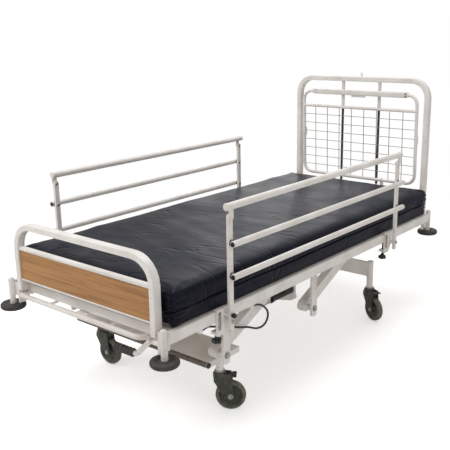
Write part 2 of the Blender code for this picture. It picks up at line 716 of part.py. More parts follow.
def foot_plate():
    """Folded foot plate of the base with a rolled front edge and two castor sockets."""
    low = (-PLATE_HALF_WIDTH, PLATE_FRONT_Y, PLATE_TOP_Z - PLATE_FLANGE)
    high = (PLATE_HALF_WIDTH, PLATE_REAR_Y, PLATE_TOP_Z)
    tray = box("foot_plate", low, high, 0.002)
    inside = box("tray_inside", (low[0] + PLATE_SHEET, low[1] + PLATE_SHEET, low[2] - 0.01),
                 (high[0] - PLATE_SHEET, high[1] - PLATE_SHEET, PLATE_TOP_Z - PLATE_SHEET))
    tray = cut(tray, inside)
    roll_z = PLATE_TOP_Z - PLATE_ROLL_RADIUS
    roll = rod("roll", (-PLATE_HALF_WIDTH - 0.004, PLATE_FRONT_Y, roll_z),
               (PLATE_HALF_WIDTH + 0.004, PLATE_FRONT_Y, roll_z), PLATE_ROLL_RADIUS, 12)
    socket_top = PLATE_TOP_Z - PLATE_SHEET / 2
    sockets = [socket("socket", side * CASTOR_X, CASTOR_FOOT_Y, socket_top) for side in (-1, 1)]
    return join(tray, roll, *sockets)


def head_beam():
    """Cross beam of the base under the head end with two castor sockets."""
    beam = box("head_beam", (-CASTOR_X, HEAD_BEAM_FRONT_Y, HEAD_BEAM_TOP_Z - HEAD_BEAM_HEIGHT),
               (CASTOR_X, HEAD_BEAM_FRONT_Y + HEAD_BEAM_DEPTH, HEAD_BEAM_TOP_Z), 0.002)
    sockets = [socket("socket", side * CASTOR_X, CASTOR_HEAD_Y, SOCKET_HEAD_TOP_Z) for side in (-1, 1)]
    return join(beam, *sockets)


def base_rail():
    """Right base rail with the bearing plates of both lift shafts."""
    inner, outer = BASE_RAIL_X - BASE_RAIL_WIDTH / 2, BASE_RAIL_X + BASE_RAIL_WIDTH / 2
    rail = box("base_rail_right", (inner, BASE_RAIL_FOOT_Y, BASE_RAIL_BOTTOM_Z),
               (outer, HEAD_BEAM_FRONT_Y - CLEARANCE, BASE_RAIL_TOP_Z), 0.002)
    bearings = []
    for shaft_y in (FOOT_SHAFT_Y, HEAD_SHAFT_Y):
        outline = capsule((shaft_y, BASE_RAIL_TOP_Z + BEARING_RADIUS / 2), (shaft_y, SHAFT_Z), BEARING_RADIUS)
        bearings.append(plate("bearing", [outline, hole((shaft_y, SHAFT_Z), SHAFT_RADIUS, 16)], "yz",
                              BASE_RAIL_X, BEARING_THICKNESS))
    return join(rail, *bearings)


def ram_bracket(rail):
    """Bracket arm that rises from the right base rail to the tail of the ram."""
    near_y = RAM_TAIL_Y + CLEARANCE
    middle_y = near_y + RAM_BRACKET_DEPTH / 2
    start = (BASE_RAIL_X + BASE_RAIL_WIDTH / 4, BASE_RAIL_BOTTOM_Z + BASE_RAIL_HEIGHT / 2)
    end = (RAM_X, RAM_Z - RAM_RADIUS - RAM_BRACKET_RADIUS * 2)
    arm = plate("bracket_arm", [capsule(start, end, RAM_BRACKET_RADIUS)], "xz", middle_y, RAM_BRACKET_DEPTH)
    upright = box("bracket_upright", (RAM_X - RAM_RADIUS, near_y, end[1]),
                  (RAM_X + RAM_RADIUS, near_y + RAM_BRACKET_DEPTH / 2, RAM_Z + RAM_RADIUS), 0.002)
    return join(rail, arm, upright)


def castor_fork():
    """Castor fork about its stem at the origin, with the wheel trailing towards +X."""
    crown = turned("castor_fork", [
        (0, CASTOR_TOP_Z + STEM_LENGTH), (STEM_RADIUS, CASTOR_TOP_Z + STEM_LENGTH),
        (STEM_RADIUS, CASTOR_TOP_Z), (CROWN_RADIUS - 0.006, CASTOR_TOP_Z), (CROWN_RADIUS, CASTOR_TOP_Z - 0.010),
        (CROWN_RADIUS - 0.002, CROWN_BOTTOM_Z), (0, CROWN_BOTTOM_Z)], steps=10)
    leg_y = WHEEL_WIDTH / 2 + FORK_SIDE_GAP + FORK_PLATE / 2
    hub = 0.015
    outline = [(-CROWN_RADIUS + 0.008, CASTOR_TOP_Z - 0.014), (-CROWN_RADIUS + 0.004, CROWN_BOTTOM_Z),
               (WHEEL_TRAIL * 0.35, WHEEL_RADIUS)]
    outline += [(WHEEL_TRAIL + hub * cos(angle), WHEEL_RADIUS + hub * sin(angle))
                for angle in (pi * (1.1 + 0.3 * step) for step in range(4))]
    outline += [(BRAKE_PIVOT_X + 0.010, BRAKE_PIVOT_Z - 0.012), (BRAKE_PIVOT_X + 0.008, CASTOR_TOP_Z - 0.010),
                (CROWN_RADIUS - 0.012, CASTOR_TOP_Z - 0.008)]
    legs = [plate("leg", [outline], "xz", side * leg_y, FORK_PLATE) for side in (-1, 1)]
    reach = leg_y + FORK_PLATE
    axle = rod("axle", (WHEEL_TRAIL, -reach, WHEEL_RADIUS), (WHEEL_TRAIL, reach, WHEEL_RADIUS), AXLE_RADIUS)
    return join(crown, *legs, axle)


def castor_wheel():
    """Castor wheel with a rounded tyre, a recessed disc and a hub."""
    half = WHEEL_WIDTH / 2
    bore = (AXLE_RADIUS + PIN_PLAY) / cos(pi / 16)
    rim = WHEEL_RADIUS - 0.015
    profile = [(bore, half), (0.015, half), (rim, half - 0.005), (rim + 0.003, half - 0.001),
               (WHEEL_RADIUS, half * 0.4)]
    profile += [(radius, -height) for radius, height in reversed(profile)]
    return turned("castor_wheel", profile, (WHEEL_TRAIL, 0, WHEEL_RADIUS), "y", 16, ring=True)


def castor_brake():
    """Brake pedal between the fork's legs, with a wide tread outside them."""
    half = WHEEL_WIDTH / 2 + FORK_SIDE_GAP - CLEARANCE
    barrel = rod("castor_brake", (BRAKE_PIVOT_X, -half, BRAKE_PIVOT_Z), (BRAKE_PIVOT_X, half, BRAKE_PIVOT_Z),
                 BRAKE_BARREL_RADIUS)
    top = BRAKE_PIVOT_Z + BRAKE_TAB_THICKNESS / 2
    arm = box("arm", (BRAKE_PIVOT_X, -half + 0.002, top - BRAKE_TAB_THICKNESS + 0.001),
              (BRAKE_PIVOT_X + 0.016, half - 0.002, top - 0.0005))
    tread_x = BRAKE_PIVOT_X + 0.012
    tread = box("tread", (tread_x, -BRAKE_TAB_WIDTH / 2, top - BRAKE_TAB_THICKNESS),
                (tread_x + BRAKE_TAB_LENGTH - 0.008, BRAKE_TAB_WIDTH / 2, top), 0.0015)
    return join(barrel, arm, tread)


def bumper():
    """Rubber bumper disc with a raised rim and a hub, about its own centre."""
    bore = (SPINDLE_RADIUS + PIN_PLAY) / cos(pi / 14)
    half, hub, rim = BUMPER_HALF_HEIGHT, BUMPER_HUB_HALF_HEIGHT, BUMPER_RADIUS
    profile = [(bore, hub), (0.019, hub), (rim - 0.022, hub - 0.003), (rim - 0.012, half), (rim, half * 0.45),
               (rim, -half * 0.45), (rim - 0.012, -half), (bore, -hub)]
    return turned("bumper", profile, steps=14, ring=True)


def corner_post(name, x, y):
    """Corner post with a domed top and the spindle and cap that carry a bumper."""
    top, radius = CORNER_POST_TOP_Z, CORNER_POST_RADIUS
    under = BUMPER_Z + BUMPER_HUB_HALF_HEIGHT + CLEARANCE
    cap_top = BUMPER_Z - BUMPER_HUB_HALF_HEIGHT - CLEARANCE
    profile = [(0, top), (radius * 0.7, top - 0.003), (radius, top - 0.010),
               (radius, under), (SPINDLE_RADIUS, under), (SPINDLE_RADIUS, cap_top),
               (SPINDLE_CAP_RADIUS, cap_top), (SPINDLE_CAP_RADIUS, cap_top - SPINDLE_CAP),
               (0, cap_top - SPINDLE_CAP)]
    return turned(name, profile, (x, y, 0), steps=10)


def end_rail(name, end, tube_y, leg_outer_x):
    """Cross tube of one bed end with its corner brackets and posts. end is -1 at the foot, 1 at the head."""
    reach = RAIL_INNER_X - CLEARANCE
    tube_far_y = tube_y - end * END_TUBE_DEPTH
    cross = box(name, (-reach, min(tube_y, tube_far_y), RAIL_BOTTOM_Z),
                (reach, max(tube_y, tube_far_y), END_TUBE_TOP_Z), 0.002)
    plate_near_y = end * (RAIL_HALF_LENGTH + CLEARANCE)
    plate_far_y = plate_near_y + end * END_PLATE_THICKNESS
    web_low_x = leg_outer_x + WEB_GAP
    web_high_x = web_low_x + WEB_THICKNESS
    additions = []
    for side in (-1, 1):
        web_y = sorted((tube_y - end * END_TUBE_DEPTH / 2, plate_far_y - end * 0.001))
        web_x = sorted((side * web_low_x, side * web_high_x))
        web = box("web", (web_x[0], web_y[0], WEB_BOTTOM_Z), (web_x[1], web_y[1], END_TUBE_TOP_Z - 0.002))
        if end < 0 and side > 0:
            bush = plate("lever_bush", [circle((LEVER_Y, LEVER_Z), LEVER_RADIUS * 1.7, 12)], "yz",
                         (web_low_x + web_high_x) / 2, WEB_THICKNESS - 0.002)
            bore = (LEVER_RADIUS + PIN_PLAY) / cos(pi / 12)
            drill = rod("lever_drill", (web_low_x - 0.01, LEVER_Y, LEVER_Z),
                        (web_high_x + 0.01, LEVER_Y, LEVER_Z), bore, 12)
            web = cut(join(web, bush), drill)
        face_x = sorted((side * (web_low_x + 0.001), side * (RAIL_OUTER_X - 0.0015)))
        face_y = sorted((plate_near_y, plate_far_y))
        additions.append(web)
        additions.append(box("end_plate", (face_x[0], face_y[0], END_PLATE_BOTTOM_Z),
                             (face_x[1], face_y[1], RAIL_TOP_Z - 0.004)))
        additions.append(corner_post("corner_post", side * CORNER_X, end * CORNER_Y))
    return join(cross, *additions)


def rack_eyes(rail):
    """Eyes under the foot cross tube that the linen rack's outer rods slide in."""
    eye_y = FOOT_TUBE_FRONT_Y + END_TUBE_DEPTH / 2
    eyes = []
    for x in (RACK_LEFT_X, RACK_RIGHT_X):
        outline = capsule((x, RACK_ROD_Z), (x, RAIL_BOTTOM_Z + 0.012), RACK_EYE_RADIUS)
        eyes.append(plate("rack_eye", [outline, hole((x, RACK_ROD_Z), RACK_ROD_RADIUS, 10)], "xz", eye_y,
                          RACK_EYE_THICKNESS))
    return join(rail, *eyes)


def flat_arch(name, half, wall, heights, bend, front_y, depth, edge):
    """Arch of flat-sided tube with rounded edges, standing across the bed."""
    bottom, top = heights
    outline = []
    for inset, order in ((0, 1), (wall, -1)):
        side, crown = half - inset, top - inset
        corners = [(-side, bottom, 0), (-side, crown, 0), (side, crown, 0), (side, bottom, 0)]
        outline += [(point.x, point.y) for point in bent(corners, bend - inset, 6)[::order]]
    arch = plate(name, [outline], "xz", front_y + depth / 2, depth)
    edges = arch.modifiers.new("rounded", "BEVEL")
    edges.width = edge
    edges.segments = 2
    edges.limit_method = "ANGLE"
    edges.angle_limit = radians(50)
    return arch


def foot_arch():
    """Foot end arch with the rails above and below its wood panel."""
    arch = flat_arch("foot_arch", FOOT_ARCH_HALF_WIDTH, FOOT_ARCH_WALL, (FOOT_ARCH_BOTTOM_Z, FOOT_ARCH_TOP_Z),
                     FOOT_ARCH_BEND, FOOT_ARCH_FRONT_Y, FOOT_ARCH_DEPTH, FOOT_ARCH_EDGE)
    reach = FOOT_ARCH_HALF_WIDTH - FOOT_ARCH_WALL / 2
    front = FOOT_ARCH_FRONT_Y + PANEL_RECESS
    rail = box("panel_rail", (-reach, front, PANEL_RAIL_BOTTOM_Z),
               (reach, front + PANEL_RAIL_DEPTH, PANEL_RAIL_BOTTOM_Z + PANEL_RAIL_HEIGHT), 0.004)
    trim = box("panel_trim", (-reach, front, PANEL_TRIM_TOP_Z - PANEL_TRIM_HEIGHT),
               (reach, front + PANEL_TRIM_DEPTH, PANEL_TRIM_TOP_Z), 0.002)
    return join(arch, rail, trim)


def foot_panel():
    """Wood-grained board between the foot arch's legs."""
    reach = FOOT_ARCH_HALF_WIDTH - FOOT_ARCH_WALL - CLEARANCE
    front = FOOT_ARCH_FRONT_Y + PANEL_RECESS + PANEL_BACK_STEP
    return box("foot_panel", (-reach, front, PANEL_TRIM_TOP_Z + CLEARANCE),
               (reach, front + PANEL_THICKNESS, PANEL_RAIL_BOTTOM_Z - CLEARANCE))


def head_arch():
    """Head end arch with its cross tube, two uprights, top stub and the backrest's hinge lugs."""
    top = HEAD_ARCH_TOP_Z - HEAD_ARCH_WALL / 2
    arch = flat_arch("head_arch", HEAD_ARCH_HALF_WIDTH, HEAD_ARCH_WALL, (HEAD_ARCH_BOTTOM_Z, HEAD_ARCH_TOP_Z),
                     HEAD_ARCH_BEND, HEAD_ARCH_FRONT_Y, HEAD_ARCH_DEPTH, HEAD_ARCH_EDGE)
    additions = [rod("cross_tube", (-HEAD_LEG_X, HEAD_ARCH_Y, HEAD_CROSS_Z),
                     (HEAD_LEG_X, HEAD_ARCH_Y, HEAD_CROSS_Z), HEAD_CROSS_RADIUS, 10)]
    for side in (-1, 1):
        x = side * HEAD_UPRIGHT_X
        step = BACKREST_BAR_Z - HEAD_UPRIGHT_RADIUS
        additions.append(rod("upright", (x, HEAD_UPRIGHT_Y, step), (x, HEAD_UPRIGHT_Y, top),
                             HEAD_UPRIGHT_RADIUS, 10))
        additions.append(rod("lower_rod", (x, HEAD_UPRIGHT_Y, HEAD_CROSS_Z + HEAD_ROD_STEP),
                             (x, HEAD_UPRIGHT_Y, BACKREST_BAR_Z), HEAD_LOWER_ROD_RADIUS, 8))
        hinge = (BACKREST_Y, BACKREST_Z)
        outline = capsule((HEAD_ARCH_Y, HEAD_CROSS_Z), hinge, BACKREST_LUG_RADIUS)
        additions.append(plate("hinge_lug", [outline, hole(hinge, BACKREST_RADIUS)], "yz",
                               side * BACKREST_LUG_X, BACKREST_LUG_THICKNESS))
    additions.append(rod("stub", (HEAD_STUB_X, HEAD_ARCH_Y, top), (HEAD_STUB_X, HEAD_ARCH_Y, HEAD_STUB_TOP_Z),
                         HEAD_STUB_RADIUS, 10))
    return join(arch, *additions)


def leaned(piece):
    """Tip a backrest piece forward about its hinge to its resting lean."""
    hinge = Vector((0, BACKREST_Y, BACKREST_Z))
    lean = Matrix.Translation(hinge) @ Matrix.Rotation(BACKREST_LEAN, 4, "X") @ Matrix.Translation(-hinge)
    piece.matrix_world = lean @ piece.matrix_basis
    return piece


def backrest_frame():
    """Closed tube frame of the backrest with its cross bar."""
    half = BACKREST_HALF_WIDTH
    loop = bent([(-half, BACKREST_Y, BACKREST_Z), (-half, BACKREST_Y, BACKREST_TOP_Z),
                 (half, BACKREST_Y, BACKREST_TOP_Z), (half, BACKREST_Y, BACKREST_Z)],
                BACKREST_BEND, 4, closed=True)
    frame = tube("backrest_frame", loop, BACKREST_RADIUS, closed=True, roundness=2)
    bar = rod("cross_bar", (-half, BACKREST_Y, BACKREST_BAR_Z), (half, BACKREST_Y, BACKREST_BAR_Z),
              BACKREST_BAR_RADIUS)
    return leaned(join(frame, bar))


def backrest_mesh():
    """Welded wire mesh that fills the backrest frame under its cross bar."""
    left = -BACKREST_HALF_WIDTH + BACKREST_RADIUS + CLEARANCE
    bottom = BACKREST_Z + BACKREST_RADIUS + CLEARANCE
    top = BACKREST_BAR_Z - BACKREST_BAR_RADIUS - CLEARANCE
    across = 2 * BACKREST_HALF_WIDTH / (MESH_UPRIGHTS + 1)
    rise = (BACKREST_BAR_Z - BACKREST_Z) / (MESH_CROSSWIRES + 1)
    wires = []
    for index in range(MESH_CROSSWIRES):
        z, half = BACKREST_Z + (index + 1) * rise, MESH_CROSSWIRE / 2
        wires.append(box("crosswire", (left, BACKREST_Y - half, z - half),
                         (-left, BACKREST_Y + half, z + half)))
    for index in range(MESH_UPRIGHTS):
        x, half = (index + 1) * across - BACKREST_HALF_WIDTH, MESH_UPRIGHT_WIRE / 2
        wires.append(box("upright_wire", (x - half, BACKREST_Y - half, bottom),
                         (x + half, BACKREST_Y + half, top)))
    wires[0].name = "backrest_mesh"
    return leaned(join(wires[0], *wires[MESH_CROSSWIRES:], *wires[1:MESH_CROSSWIRES]))


def backrest_grip():
    """Flat-sided grip sleeve on the backrest's top tube, with a lip under its middle."""
    low = (GRIP_LEFT_X, BACKREST_Y - GRIP_DEPTH / 2, BACKREST_TOP_Z - GRIP_HEIGHT / 2)
    high = (GRIP_RIGHT_X, BACKREST_Y + GRIP_DEPTH / 2, BACKREST_TOP_Z + GRIP_HEIGHT / 2)
    sleeve = box("backrest_grip", low, high, 0.003)
    middle = (GRIP_LEFT_X + GRIP_RIGHT_X) / 2
    lip = box("lip", (middle - GRIP_LIP_HALF_WIDTH, low[1] + 0.004, low[2] - GRIP_LIP_DROP),
              (middle + GRIP_LIP_HALF_WIDTH, low[1] + 0.010, low[2] + 0.003), 0.001)
    bore = (BACKREST_RADIUS + CLEARANCE) / cos(pi / 10)
    drill = rod("drill", (GRIP_LEFT_X - 0.01, BACKREST_Y, BACKREST_TOP_Z),
                (GRIP_RIGHT_X + 0.01, BACKREST_Y, BACKREST_TOP_Z), bore, 10)
    return leaned(cut(join(sleeve, lip), drill))


def mattress_platform():
    """Sheet deck between the side rails with folded edges, stiffening ribs and vent holes."""
    reach = RAIL_INNER_X - CLEARANCE
    foot = FOOT_TUBE_FRONT_Y + END_TUBE_DEPTH + CLEARANCE
    head = HEAD_TUBE_REAR_Y - END_TUBE_DEPTH - CLEARANCE
    deck = [(-reach, foot), (reach, foot), (reach, head), (-reach, head)]
    pitch = (head - foot) / PLATFORM_RIBS
    vents = [circle((side * PLATFORM_VENT_X, foot + pitch * (index + 1)), PLATFORM_VENT_RADIUS, 8)
             for side in (-1, 1) for index in range(PLATFORM_RIBS - 1)]
    under = PLATFORM_TOP_Z - PLATFORM_SHEET / 2
    sheet = plate("mattress_platform", [deck, *vents], "xy", under, PLATFORM_SHEET)
    additions = []
    for index in range(PLATFORM_RIBS):
        y = foot + pitch * (index + 0.5)
        additions.append(box("rib", (-reach + 0.002, y - PLATFORM_RIB_WIDTH / 2, PLATFORM_BOTTOM_Z),
                             (reach - 0.002, y + PLATFORM_RIB_WIDTH / 2, under)))
    return join(sheet, *additions)


def mattress():
    """Covered foam mattress with a crowned top and sides drawn in between its corners."""
    half_length = (MATTRESS_HEAD_Y - MATTRESS_FOOT_Y) / 2
    half = Vector((MATTRESS_HALF_WIDTH, half_length, MATTRESS_THICKNESS / 2))
    shape = bmesh.new()
    bmesh.ops.create_cube(shape, size=2.0)
    bmesh.ops.scale(shape, vec=half, verts=shape.verts)
    for axis, inner_cuts in ((0, 3), (1, 6), (2, 1)):
        normal = Vector([1.0 if index == axis else 0.0 for index in range(3)])
        edge = min(MATTRESS_EDGE, half[axis] * 0.6)
        places = [-half[axis] + edge, half[axis] - edge]
        span = places[1] - places[0]
        places += [places[0] + span * (index + 1) / (inner_cuts + 1) for index in range(inner_cuts)]
        for place in places:
            bmesh.ops.bisect_plane(shape, geom=shape.verts[:] + shape.edges[:] + shape.faces[:],
                                   plane_co=normal * place, plane_no=normal)
    for vert in shape.verts:
        across, along, height = (vert.co[index] / half[index] for index in range(3))
        middle = (1 - across ** 2) * (1 - along ** 2)
        if height > 0.99:
            vert.co.z += MATTRESS_CROWN * middle
        waist = 1 - height ** 2
        if abs(across) > 0.99:
            vert.co.x -= across * MATTRESS_PULL_IN * waist * (0.5 + 0.5 * (1 - along ** 2))
        if abs(along) > 0.99:
            vert.co.y -= along * MATTRESS_PULL_IN * waist * (0.5 + 0.5 * (1 - across ** 2))
    centre = (0, (MATTRESS_HEAD_Y + MATTRESS_FOOT_Y) / 2, MATTRESS_BOTTOM_Z + MATTRESS_THICKNESS / 2)
    piece = mesh_piece("mattress", shape, centre)
    soften = piece.modifiers.new("soften", "SUBSURF")
    soften.levels = 1
    soften.render_levels = 1
    return as_mesh(piece)


def side_post(name, y, latch):
    """Flat safety side post with its pivot holes, and on the foot post the pull knob's hole."""
    pivots = (SIDE_PIVOT_Z, SIDE_LOW_Z, SIDE_MID_Z, SIDE_LUG_PIVOT_Z)
    holes = [hole((y, z), SIDE_PIN_RADIUS, 8) for z in pivots]
    if latch:
        holes.append(hole((y, PULL_Z), PULL_PIN_RADIUS, 8))
    foot = (y, SIDE_POST_BOTTOM_Z + SIDE_POST_HALF_DEPTH)
    outline = capsule(foot, (y, SIDE_LUG_PIVOT_Z), SIDE_POST_HALF_DEPTH)
    return plate(name, [outline, *holes], "yz", SIDE_POST_X, SIDE_POST_THICKNESS)


def side_bar(name, z, head_y):
    """Lower or middle bar, on bosses and pins through both posts."""
    foot_y = SIDE_FOOT_Y - SIDE_BAR_FOOT_OVERHANG
    bar = rod(name, (SIDE_BAR_X, foot_y, z), (SIDE_BAR_X, head_y, z), SIDE_BAR_RADIUS, 12)
    additions = []
    for y in (SIDE_FOOT_Y, SIDE_HEAD_Y):
        face_x = SIDE_POST_OUTER_X + CLEARANCE
        additions.append(rod("boss", (face_x, y, z), (SIDE_BAR_X, y, z), SIDE_BOSS_RADIUS))
        additions.append(rod("pin", (SIDE_POST_INNER_X - 0.002, y, z), (SIDE_BAR_X, y, z), SIDE_PIN_RADIUS))
    return join(bar, *additions)


def side_top_bar(name):
    """Top bar above the posts, hung on lugs outside them."""
    bar = rod(name, (SIDE_POST_X, SIDE_TOP_FOOT_Y, SIDE_TOP_Z), (SIDE_POST_X, SIDE_TOP_HEAD_Y, SIDE_TOP_Z),
              SIDE_TOP_RADIUS, 12)
    lug_x = SIDE_POST_OUTER_X + CLEARANCE + SIDE_LUG_THICKNESS / 2
    additions = []
    for y in (SIDE_FOOT_Y, SIDE_HEAD_Y):
        outline = capsule((y, SIDE_LUG_PIVOT_Z), (y, SIDE_TOP_Z - SIDE_LUG_RADIUS / 2), SIDE_LUG_RADIUS)
        additions.append(plate("lug", [outline], "yz", lug_x, SIDE_LUG_THICKNESS))
        additions.append(rod("pin", (SIDE_POST_INNER_X - 0.002, y, SIDE_LUG_PIVOT_Z),
                             (lug_x + SIDE_LUG_THICKNESS * 0.8, y, SIDE_LUG_PIVOT_Z), SIDE_PIN_RADIUS, 10))
    return join(bar, *additions)


def rail_clamp(name, post_y):
    """Clamp hooked over the side rail, with the boss and headed pin that carry a safety side post."""
    foot_y, head_y = post_y - CLAMP_FOOT_REACH, post_y + CLAMP_HEAD_REACH
    screw_y = post_y - CLAMP_SCREW_OFFSET
    profile = [(foot_y, CLAMP_TOP_Z), (foot_y, RAIL_BOTTOM_Z), (screw_y - KNOB_RADIUS, CLAMP_BOTTOM_Z),
               (screw_y + KNOB_RADIUS, CLAMP_BOTTOM_Z), (head_y, RAIL_BOTTOM_Z - CLAMP_TAPER),
               (head_y, CLAMP_TOP_Z)]
    face = plate(name, [profile], "yz", (CLAMP_INNER_X + CLAMP_OUTER_X) / 2, CLAMP_PLATE)
    hook = box("hook", (RAIL_INNER_X + CLAMP_HOOK_LIP, foot_y + CLAMP_INSET, RAIL_TOP_Z + CLEARANCE),
               (CLAMP_OUTER_X - CLAMP_INSET, head_y - CLAMP_INSET, CLAMP_TOP_Z - CLAMP_INSET))
    left, right = RAIL_INNER_X - 0.001, CLAMP_OUTER_X - CLAMP_INSET
    near, far = foot_y + CLAMP_INSET, screw_y + CLAMP_SCREW_OFFSET / 2
    outline = [(left, near), (right, near), (right, far), (left, far)]
    shelf = plate("shelf", [outline, hole((RAIL_MID_X, screw_y), CLAMP_SCREW_RADIUS, 8)], "xy",
                  CLAMP_BOTTOM_Z + CLAMP_INSET + CLAMP_SHELF / 2, CLAMP_SHELF)
    bosses = [rod("boss", (CLAMP_INNER_X + 0.002, post_y, SIDE_PIVOT_Z),
                  (SIDE_POST_INNER_X - CLEARANCE, post_y, SIDE_PIVOT_Z), CLAMP_BOSS_RADIUS),
              rod("pin", (CLAMP_OUTER_X, post_y, SIDE_PIVOT_Z),
                  (SIDE_POST_OUTER_X + 0.003, post_y, SIDE_PIVOT_Z), SIDE_PIN_RADIUS),
              rod("pin_head", (SIDE_POST_OUTER_X + CLEARANCE, post_y, SIDE_PIVOT_Z),
                  (SIDE_POST_OUTER_X + 0.0035, post_y, SIDE_PIVOT_Z), SIDE_PIN_RADIUS * 1.7)]
    if post_y == SIDE_FOOT_Y:
        bosses.append(rod("latch_boss", (CLAMP_INNER_X + 0.002, post_y, PULL_Z),
                          (SIDE_POST_INNER_X - CLEARANCE, post_y, PULL_Z), PULL_KNOB_RADIUS))
    return join(face, hook, shelf, *bosses)


def clamp_knob(name, post_y):
    """Lobed knob on the clamp's screw, which bears on the underside of the rail."""
    screw_y = post_y - CLAMP_SCREW_OFFSET
    lobes = []
    for step in range(KNOB_LOBES * 4):
        angle = 2 * pi * step / (KNOB_LOBES * 4)
        radius = KNOB_RADIUS * (0.86 + 0.14 * cos(KNOB_LOBES * angle))
        lobes.append((RAIL_MID_X + radius * cos(angle), screw_y + radius * sin(angle)))
    middle_z = KNOB_BOTTOM_Z + (KNOB_TOP_Z - KNOB_BOTTOM_Z) * 0.28
    wheel = plate(name, [lobes], "xy", middle_z, (KNOB_TOP_Z - KNOB_BOTTOM_Z) * 0.56)
    cone = [(0, KNOB_TOP_Z), (KNOB_RADIUS * 0.36, KNOB_TOP_Z), (KNOB_RADIUS * 0.62, middle_z), (0, middle_z)]
    neck = turned("neck", cone, (RAIL_MID_X, screw_y, 0), steps=8)
    screw = rod("screw", (RAIL_MID_X, screw_y, middle_z), (RAIL_MID_X, screw_y, RAIL_BOTTOM_Z - CLEARANCE),
                CLAMP_SCREW_RADIUS)
    return join(wheel, neck, screw)


def pull_knob(name):
    """Spring pull knob on the foot post, whose pin meets the clamp's latch boss."""
    tip = SIDE_POST_INNER_X
    shoulder = SIDE_POST_OUTER_X + CLEARANCE
    grip = shoulder + PULL_NECK
    end = grip + PULL_KNOB_LENGTH
    neck, chamfer = PULL_PIN_RADIUS + 0.002, PULL_KNOB_RADIUS - 0.003
    profile = [(0, end), (chamfer, end), (PULL_KNOB_RADIUS, end - 0.004), (PULL_KNOB_RADIUS, grip + 0.003),
               (chamfer, grip), (neck, grip), (neck, shoulder), (PULL_PIN_RADIUS, shoulder),
               (PULL_PIN_RADIUS, tip), (0, tip)]
    return turned(name, profile, (0, SIDE_FOOT_Y, PULL_Z), "x", 10)


def linen_rack():
    """Sliding rack: a thick front tube, thin rods, a flat middle strip and a rear bar."""
    turn_y = RACK_FRONT_Y + RACK_RETURN
    path = bent([(RACK_LEFT_X, turn_y, RACK_ROD_Z), (RACK_LEFT_X, RACK_FRONT_Y, RACK_FRONT_Z),
                 (RACK_RIGHT_X, RACK_FRONT_Y, RACK_FRONT_Z), (RACK_RIGHT_X, turn_y, RACK_ROD_Z)], RACK_BEND, 3)
    front = tube("linen_rack", path, RACK_FRONT_RADIUS)
    span = RACK_RIGHT_X - RACK_LEFT_X
    rear_left, rear_right = RACK_LEFT_X - RACK_REAR_OVERHANG, RACK_RIGHT_X + RACK_REAR_OVERHANG
    additions = [rod("rear_bar", (rear_left, RACK_REAR_Y, RACK_ROD_Z), (rear_right, RACK_REAR_Y, RACK_ROD_Z),
                     RACK_REAR_RADIUS, 8)]
    near_y, far_y = RACK_FRONT_Y + RACK_ROD_STEP, RACK_REAR_Y - RACK_ROD_STEP
    for share in (0.0, 0.25, 0.75, 1.0):
        x = RACK_LEFT_X + span * share
        start_y = turn_y - RACK_ROD_SUNK if share in (0.0, 1.0) else near_y
        additions.append(rod("rod", (x, start_y, RACK_ROD_Z), (x, far_y, RACK_ROD_Z), RACK_ROD_RADIUS, 8))
    middle = RACK_LEFT_X + span / 2
    low = (middle - RACK_STRIP_HALF_WIDTH, near_y, RACK_ROD_Z - RACK_STRIP_THICKNESS / 2)
    high = (middle + RACK_STRIP_HALF_WIDTH, far_y, RACK_ROD_Z + RACK_STRIP_THICKNESS / 2)
    additions.append(box("strip", low, high))
    return join(front, *additions)


def pump_lever():
    """Bent lever that turns in the right corner bracket and ends in the grip."""
    path = bent([(LEVER_END_X, LEVER_Y, LEVER_Z), (LEVER_ELBOW_X, LEVER_Y, LEVER_Z),
                 (LEVER_GRIP_RIGHT_X + LEVER_KNEE, LEVER_Y, LEVER_GRIP_Z),
                 (LEVER_GRIP_LEFT_X + 0.006, LEVER_Y, LEVER_GRIP_Z)], LEVER_BEND, 3)
    return tube("pump_lever", path, LEVER_RADIUS)


def lever_grip():
    """Ribbed rubber grip, closed at its free end, on the pump lever."""
    pitch = LEVER_GRIP_LENGTH / LEVER_GRIP_RIBS
    bore = (LEVER_RADIUS + CLEARANCE) / cos(pi / 10)
    profile = [(0, LEVER_GRIP_END), (bore, LEVER_GRIP_END), (bore, LEVER_GRIP_LENGTH),
               (LEVER_GRIP_VALLEY, LEVER_GRIP_LENGTH)]
    for rib in range(LEVER_GRIP_RIBS):
        top = LEVER_GRIP_LENGTH - rib * pitch
        profile += [(LEVER_GRIP_RADIUS, top - 0.25 * pitch), (LEVER_GRIP_RADIUS, top - 0.70 * pitch),
                    (LEVER_GRIP_VALLEY, top - 0.95 * pitch)]
    profile += [(LEVER_GRIP_VALLEY * 0.8, 0), (0, 0)]
    return turned("lever_grip", profile, (LEVER_GRIP_LEFT_X, LEVER_Y, LEVER_GRIP_Z), "x", 10)


def control_cable():
    """Slack cable between its two clips."""
    leave = [(CABLE_X, CABLE_HEAD_Y + reach, CABLE_Z) for reach in (2 * CLEARANCE, CABLE_LEAD)]
    enter = [(CABLE_X, CABLE_FOOT_Y + reach, CABLE_Z) for reach in (CABLE_LEAD, 2 * CLEARANCE)]
    path = smooth([*leave, *CABLE_ROUTE, *enter], CABLE_STEPS)
    return tube("control_cable", path, CABLE_RADIUS, roundness=2)


def body(name, place, *pieces):
    """Hang pieces on an empty at their joint's axis."""
    empty = bpy.data.objects.new(name + "_pivot", None)
    empty.empty_display_size = 0.05
    empty.location = place
    BED.objects.link(empty)
    for piece in pieces:
        world = piece.matrix_basis.copy()
        piece.parent = empty
        piece.matrix_parent_inverse = Matrix.Translation(-Vector(place))
        piece.matrix_basis = world
    return empty


